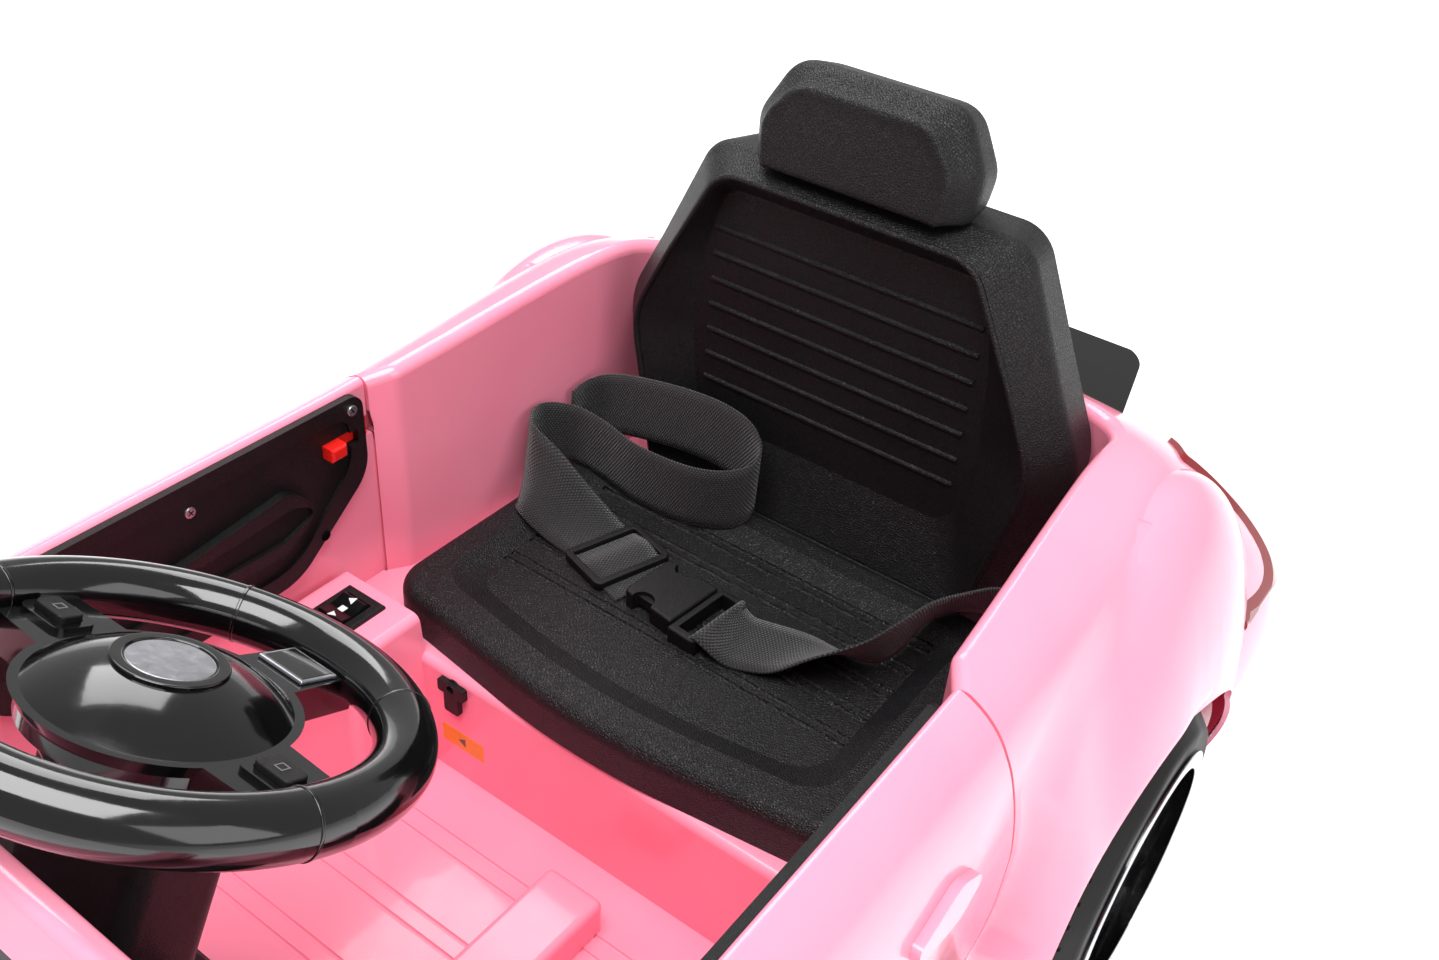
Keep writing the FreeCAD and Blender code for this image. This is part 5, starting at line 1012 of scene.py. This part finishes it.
@dataclass
class FenderFlare:
    """A smooth rear fender that swells out of the body over each rear tyre.

    Angles are in degrees round the axle, from the front, and distances out are from the car's middle. The
    sheet starts at inner and is as wide as the room beside the door and the lamp allows, up to width. Its lip
    goes from the first distance of lip to the second over lip_turn. It fades over both fade angles and over
    the outer share called border, where it dips below the body by sunk.
    """

    axle: Pair = (REAR_AXLE_Y, AXLE_Z)
    inner: float = 0.1338
    width: float = 0.104
    lip: Pair = (0.2825, 0.2905)
    lip_turn: Pair = (35.0, 105.0)
    lip_rows: int = 3
    edge: float = 0.0035
    edge_roll: float = 0.3
    sunk: float = 0.00025
    least: float = 0.0003
    angles: Pair = (2.0, 118.0)
    fade: Pair = (16.0, 34.0)
    border: float = 0.5
    step: float = 0.001
    clear: float = 0.002
    drop: float = 0.006
    outside: float = 0.5
    neighbours: tuple[str, ...] = ("floor_tub", "door_left", "door_right", "tail_lamps")
    arc_steps: int = 72
    rows: int = 30
    passes: int = 20
    wall: float = 0.002

    def build(self) -> None:
        """Make both fenders."""
        for side, name in SIDES:
            self.fender(side, name)

    @staticmethod
    def eased(share: float) -> float:
        """A share held between 0 and 1 and eased at both ends."""
        share = min(max(share, 0.0), 1.0)
        return share * share * (3.0 - 2.0 * share)

    def degrees(self, i: int) -> float:
        """The angle of a section round the axle, from the front."""
        return self.angles[0] + (self.angles[1] - self.angles[0]) * i / self.arc_steps

    def taper(self, degrees: float) -> float:
        """How much of the swell is left at an angle, fading towards both ends."""
        start, end = self.angles
        return self.eased(min((degrees - start) / self.fade[0], (end - degrees) / self.fade[1]))

    def lip_out(self, degrees: float) -> float:
        """How far out the lip stands at an angle."""
        start, end = self.lip_turn
        return self.lip[0] + (self.lip[1] - self.lip[0]) * self.eased((degrees - start) / (end - start))

    def spot(self, angle: float, radius: float) -> Pair:
        """A place in the side view at an angle and a distance from the axle."""
        return self.axle[0] - radius * math.cos(angle), self.axle[1] + radius * math.sin(angle)

    def node_out(self, node: str, side: float, y: float, z: float) -> float:
        """How far out a CAD node reaches at a place in the side view, or 0 where it isn't."""
        start, way = Vector((side * self.outside, y, z)), Vector((-side, 0.0, 0.0))
        hit, point, _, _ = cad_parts[node].ray_cast(start, way)
        return abs(point.x) if hit else 0.0

    def skin(self, side: float, angle: float, radius: float) -> float:
        """How far out the rear body is at a place in the side view.

        Args:
            side: 1 for the car's left, -1 for its right.
            angle: The angle round the axle in radians, from the front.
            radius: The distance from the axle.

        Returns:
            The distance out, or 0 where a neighbour covers the body.
        """
        y, z = self.spot(angle, radius)
        own = self.node_out("rear_body", side, y, z)
        return own if own >= max(self.node_out(node, side, y, z) for node in self.neighbours) else 0.0

    def reach(self, side: float, angle: float) -> float:
        """How wide the fender may be at an angle, clear of the door seam, the tail lamp and the rim.

        Args:
            side: 1 for the car's left, -1 for its right.
            angle: The angle round the axle in radians, from the front.

        Returns:
            The width.
        """
        wide = self.edge
        last = self.skin(side, angle, self.inner + wide)
        while wide < self.width:
            out = self.skin(side, angle, self.inner + wide + self.clear + self.step)
            if last - out > self.drop:
                break
            last = out
            wide += self.step
        return wide

    def survey(self, side: float) -> tuple[Grid, Grid, Grid]:
        """Measure the body round the wheel arch and draw the fender out from it.

        Args:
            side: 1 for the car's left, -1 for its right.

        Returns:
            By section, distances from the axle, the body's distances out and the fender's.
        """
        radii: Grid = []
        skins: Grid = []
        outs: Grid = []
        tapers: list[float] = []
        shares = [j / self.rows for j in range(self.rows + 1)]
        for i in range(self.arc_steps + 1):
            degrees = self.degrees(i)
            angle = math.radians(degrees)
            spread = self.reach(side, angle) - self.edge
            radii.append([self.inner + self.edge + spread * share for share in shares])
            skins.append([self.skin(side, angle, radius) for radius in radii[-1]])
            tapers.append(self.taper(degrees))
            swell = max(0.0, self.lip_out(degrees) - skins[-1][0]) * tapers[-1]
            outs.append([skin + swell * (1.0 - self.eased(share)) for skin, share in zip(skins[-1], shares)])
        for _ in range(self.passes):
            outs = self.smoothed(outs, skins)
        for skin, out, taper in zip(skins, outs, tapers):
            for j, share in enumerate(shares):
                keep = taper * self.eased((1.0 - share) / self.border)
                out[j] = skin[j] + (out[j] - skin[j]) * keep - self.sunk * (1.0 - keep) ** 2
        return radii, skins, outs

    def smoothed(self, outs: Grid, skins: Grid) -> Grid:
        """Even out the fender between its lip and its border, never below the body.

        Args:
            outs: The fender's distances out.
            skins: The body's.

        Returns:
            The new distances out.
        """
        fresh = [list(row) for row in outs]
        for i in range(1, len(outs) - 1):
            for j in range(1, len(outs[i]) - 1):
                mean = (outs[i - 1][j] + outs[i + 1][j] + outs[i][j - 1] + outs[i][j + 1]) / 4.0
                fresh[i][j] = max(mean, skins[i][j] + self.least)
        return fresh

    def section(self, j: int, radii: list[float], skins: list[float], outs: list[float]) -> Pair:
        """One point of a section of the fender.

        Args:
            j: Number of the point, below 0 on the lip's inner side.
            radii, skins, outs: Its distances from the axle, the body's distances out and the fender's.

        Returns:
            The point's distance from the axle and its distance out.
        """
        if j >= 0:
            return radii[j], outs[j]
        if j == -1:
            return self.inner + self.edge_roll * self.edge, outs[0] - self.edge_roll * self.edge
        if j == -2:
            return self.inner, outs[0] - self.edge
        return self.inner, min(outs[0], skins[0]) - 2.0 * self.edge

    def fender(self, side: float, name: str) -> None:
        """Make one fender as a sheet round the wheel arch, laid on the body and drawn out at the lip.

        Args:
            side: 1 for the car's left, -1 for its right.
            name: The side's name.
        """
        radii, skins, outs = self.survey(side)
        rows = self.rows + self.lip_rows
        build = Build()
        build.sheet(self.arc_steps, rows)
        for vert in build.mesh.verts:
            i = round(vert.co.x * self.arc_steps)
            j = round(vert.co.y * rows) - self.lip_rows
            radius, out = self.section(j, radii[i], skins[i], outs[i])
            y, z = self.spot(math.radians(self.degrees(i)), radius)
            vert.co = (side * out, y, z)
        for face in build.mesh.faces:
            face.smooth = True
        piece = build.done(f"fender_{name}", "car", Finish.PINK)
        # The right fender's sheet faces the car, so its wall grows the other way.
        thicken(piece, self.wall, -side)


@dataclass
class TailLining:
    """Fine ribs on the inner side of the tail, seen through each rear wheel arch.

    Inside is where the search for the wall starts, clear is the gap to it and rib is the height of the ribs.
    """

    y_range: Pair = (0.414, 0.474)
    z_range: Pair = (0.104, 0.222)
    inside: float = 0.2
    clear: float = 0.0012
    rib: float = 0.0011
    steps: int = 16
    ribs: int = 34

    def build(self) -> None:
        """Make the ribbed skin of both sides."""
        for side, name in SIDES:
            build = Build()
            build.sheet(self.steps, 2 * self.ribs)
            for vert in build.mesh.verts:
                row = round(vert.co.y * 2 * self.ribs)
                y = self.y_range[0] + (self.y_range[1] - self.y_range[0]) * vert.co.x
                z = self.z_range[0] + (self.z_range[1] - self.z_range[0]) * vert.co.y
                wall = touch("rear_body", (side * self.inside, y, z), (side, 0.0, 0.0), (0.0, 1.0, 0.0))
                depth = self.clear + (self.rib if row % 2 else 0.0)
                vert.co = wall.translation + wall.to_3x3() @ Vector((0.0, 0.0, depth))
            # The lining's hot pink is painted shade laid over the pink inner wall of the tail.
            piece = build.done(f"tail_lining_{name}", "car", Finish.DEEP_PINK)
            thicken(piece, self.clear / 2)


@dataclass(frozen=True)
class SoftLight:
    """A square soft light: its place, what it points at, its width and its strength in watts."""

    name: str
    place: Point
    aim: Point
    size: float
    power: float

    def build(self) -> None:
        """Add the light."""
        data = bpy.data.lights.new(self.name, "AREA")
        data.shape = "SQUARE"
        data.size = self.size
        data.energy = self.power
        light = bpy.data.objects.new(self.name, data)
        light.location = self.place
        light.rotation_euler = (Vector(self.aim) - Vector(self.place)).to_track_quat("-Z", "Y").to_euler()
        bpy.context.scene.collection.objects.link(light)


@dataclass
class Studio:
    """Camera, floor and lights.

    The angles are the photograph's in degrees, with the lens and the sensor in millimetres. The floor glows a
    little, so that it comes out white.
    """

    azimuth: float = 33.71
    elevation: float = 36.07
    roll: float = 4.5
    place: Point = (0.3806, -0.3588, 0.8184)
    lens: float = 35.44
    sensor: float = 36.0
    nearest: float = 0.01
    floor_half: float = 30.0
    floor_glow: float = 0.55
    surround: float = 0.42
    soft_lights: tuple[SoftLight, ...] = (
        SoftLight("key", (0.2, -0.5, 2.7), (0.0, 0.05, 0.25), 1.8, 88.0),
        SoftLight("side", (2.3, -0.2, 1.5), (0.1, 0.1, 0.3), 1.8, 20.0),
        SoftLight("rear", (-1.6, 1.6, 2.2), (0.0, 0.2, 0.3), 1.6, 40.0))

    def build(self) -> None:
        """Set up the whole studio."""
        self.camera()
        self.floor()
        self.lights()

    def camera(self) -> None:
        """Add the camera at the photograph's viewing angle."""
        turn, rise, roll = (math.radians(angle) for angle in (self.azimuth, self.elevation, self.roll))
        back = Vector((math.sin(turn) * math.cos(rise), -math.cos(turn) * math.cos(rise), math.sin(rise)))
        right = Vector((math.cos(turn), math.sin(turn), 0.0))
        up = back.cross(right)
        across = right * math.cos(roll) + up * math.sin(roll)
        upward = up * math.cos(roll) - right * math.sin(roll)
        data = bpy.data.cameras.new("camera")
        data.lens = self.lens
        data.sensor_width = self.sensor
        data.clip_start = self.nearest
        camera = bpy.data.objects.new("camera", data)
        axes = Matrix((across, upward, back)).transposed().to_4x4()
        camera.matrix_world = moved(*self.place) @ axes
        bpy.context.scene.collection.objects.link(camera)
        bpy.context.scene.camera = camera

    def floor(self) -> None:
        """Add a plain pale floor."""
        mesh = bpy.data.meshes.new("studio_floor")
        shape = bmesh.new()
        bmesh.ops.create_grid(shape, x_segments=2, y_segments=2, size=self.floor_half)
        shape.to_mesh(mesh)
        shape.free()
        floor = bpy.data.objects.new("studio_floor", mesh)
        bpy.context.scene.collection.objects.link(floor)
        paint = Paint("studio_white", Base_Color=(0.9, 0.9, 0.9), Roughness=0.7,
                      Emission_Color=(1.0, 1.0, 1.0), Emission_Strength=self.floor_glow)
        mesh.materials.append(paint.material)

    def lights(self) -> None:
        """Add soft lights and a pale surround."""
        world = bpy.data.worlds.new("studio")
        world.use_nodes = True
        background = world.node_tree.nodes["Background"]
        background.inputs["Color"].default_value = (1.0, 1.0, 1.0, 1.0)
        background.inputs["Strength"].default_value = self.surround
        bpy.context.scene.world = world
        bpy.context.scene.view_settings.view_transform = "Standard"
        for light in self.soft_lights:
            light.build()


def main() -> None:
    """Build the scene in order and note its size."""
    logging.basicConfig(level=logging.INFO, format="%(name)s: %(message)s")
    Studio().build()
    Dressing().apply()
    for group in (Belt(), SteeringTrim(), DoorTrim(), Marks(), WheelTrim(), FenderFlare(), TailLining()):
        group.build()


if __name__ == "__main__":
    main()
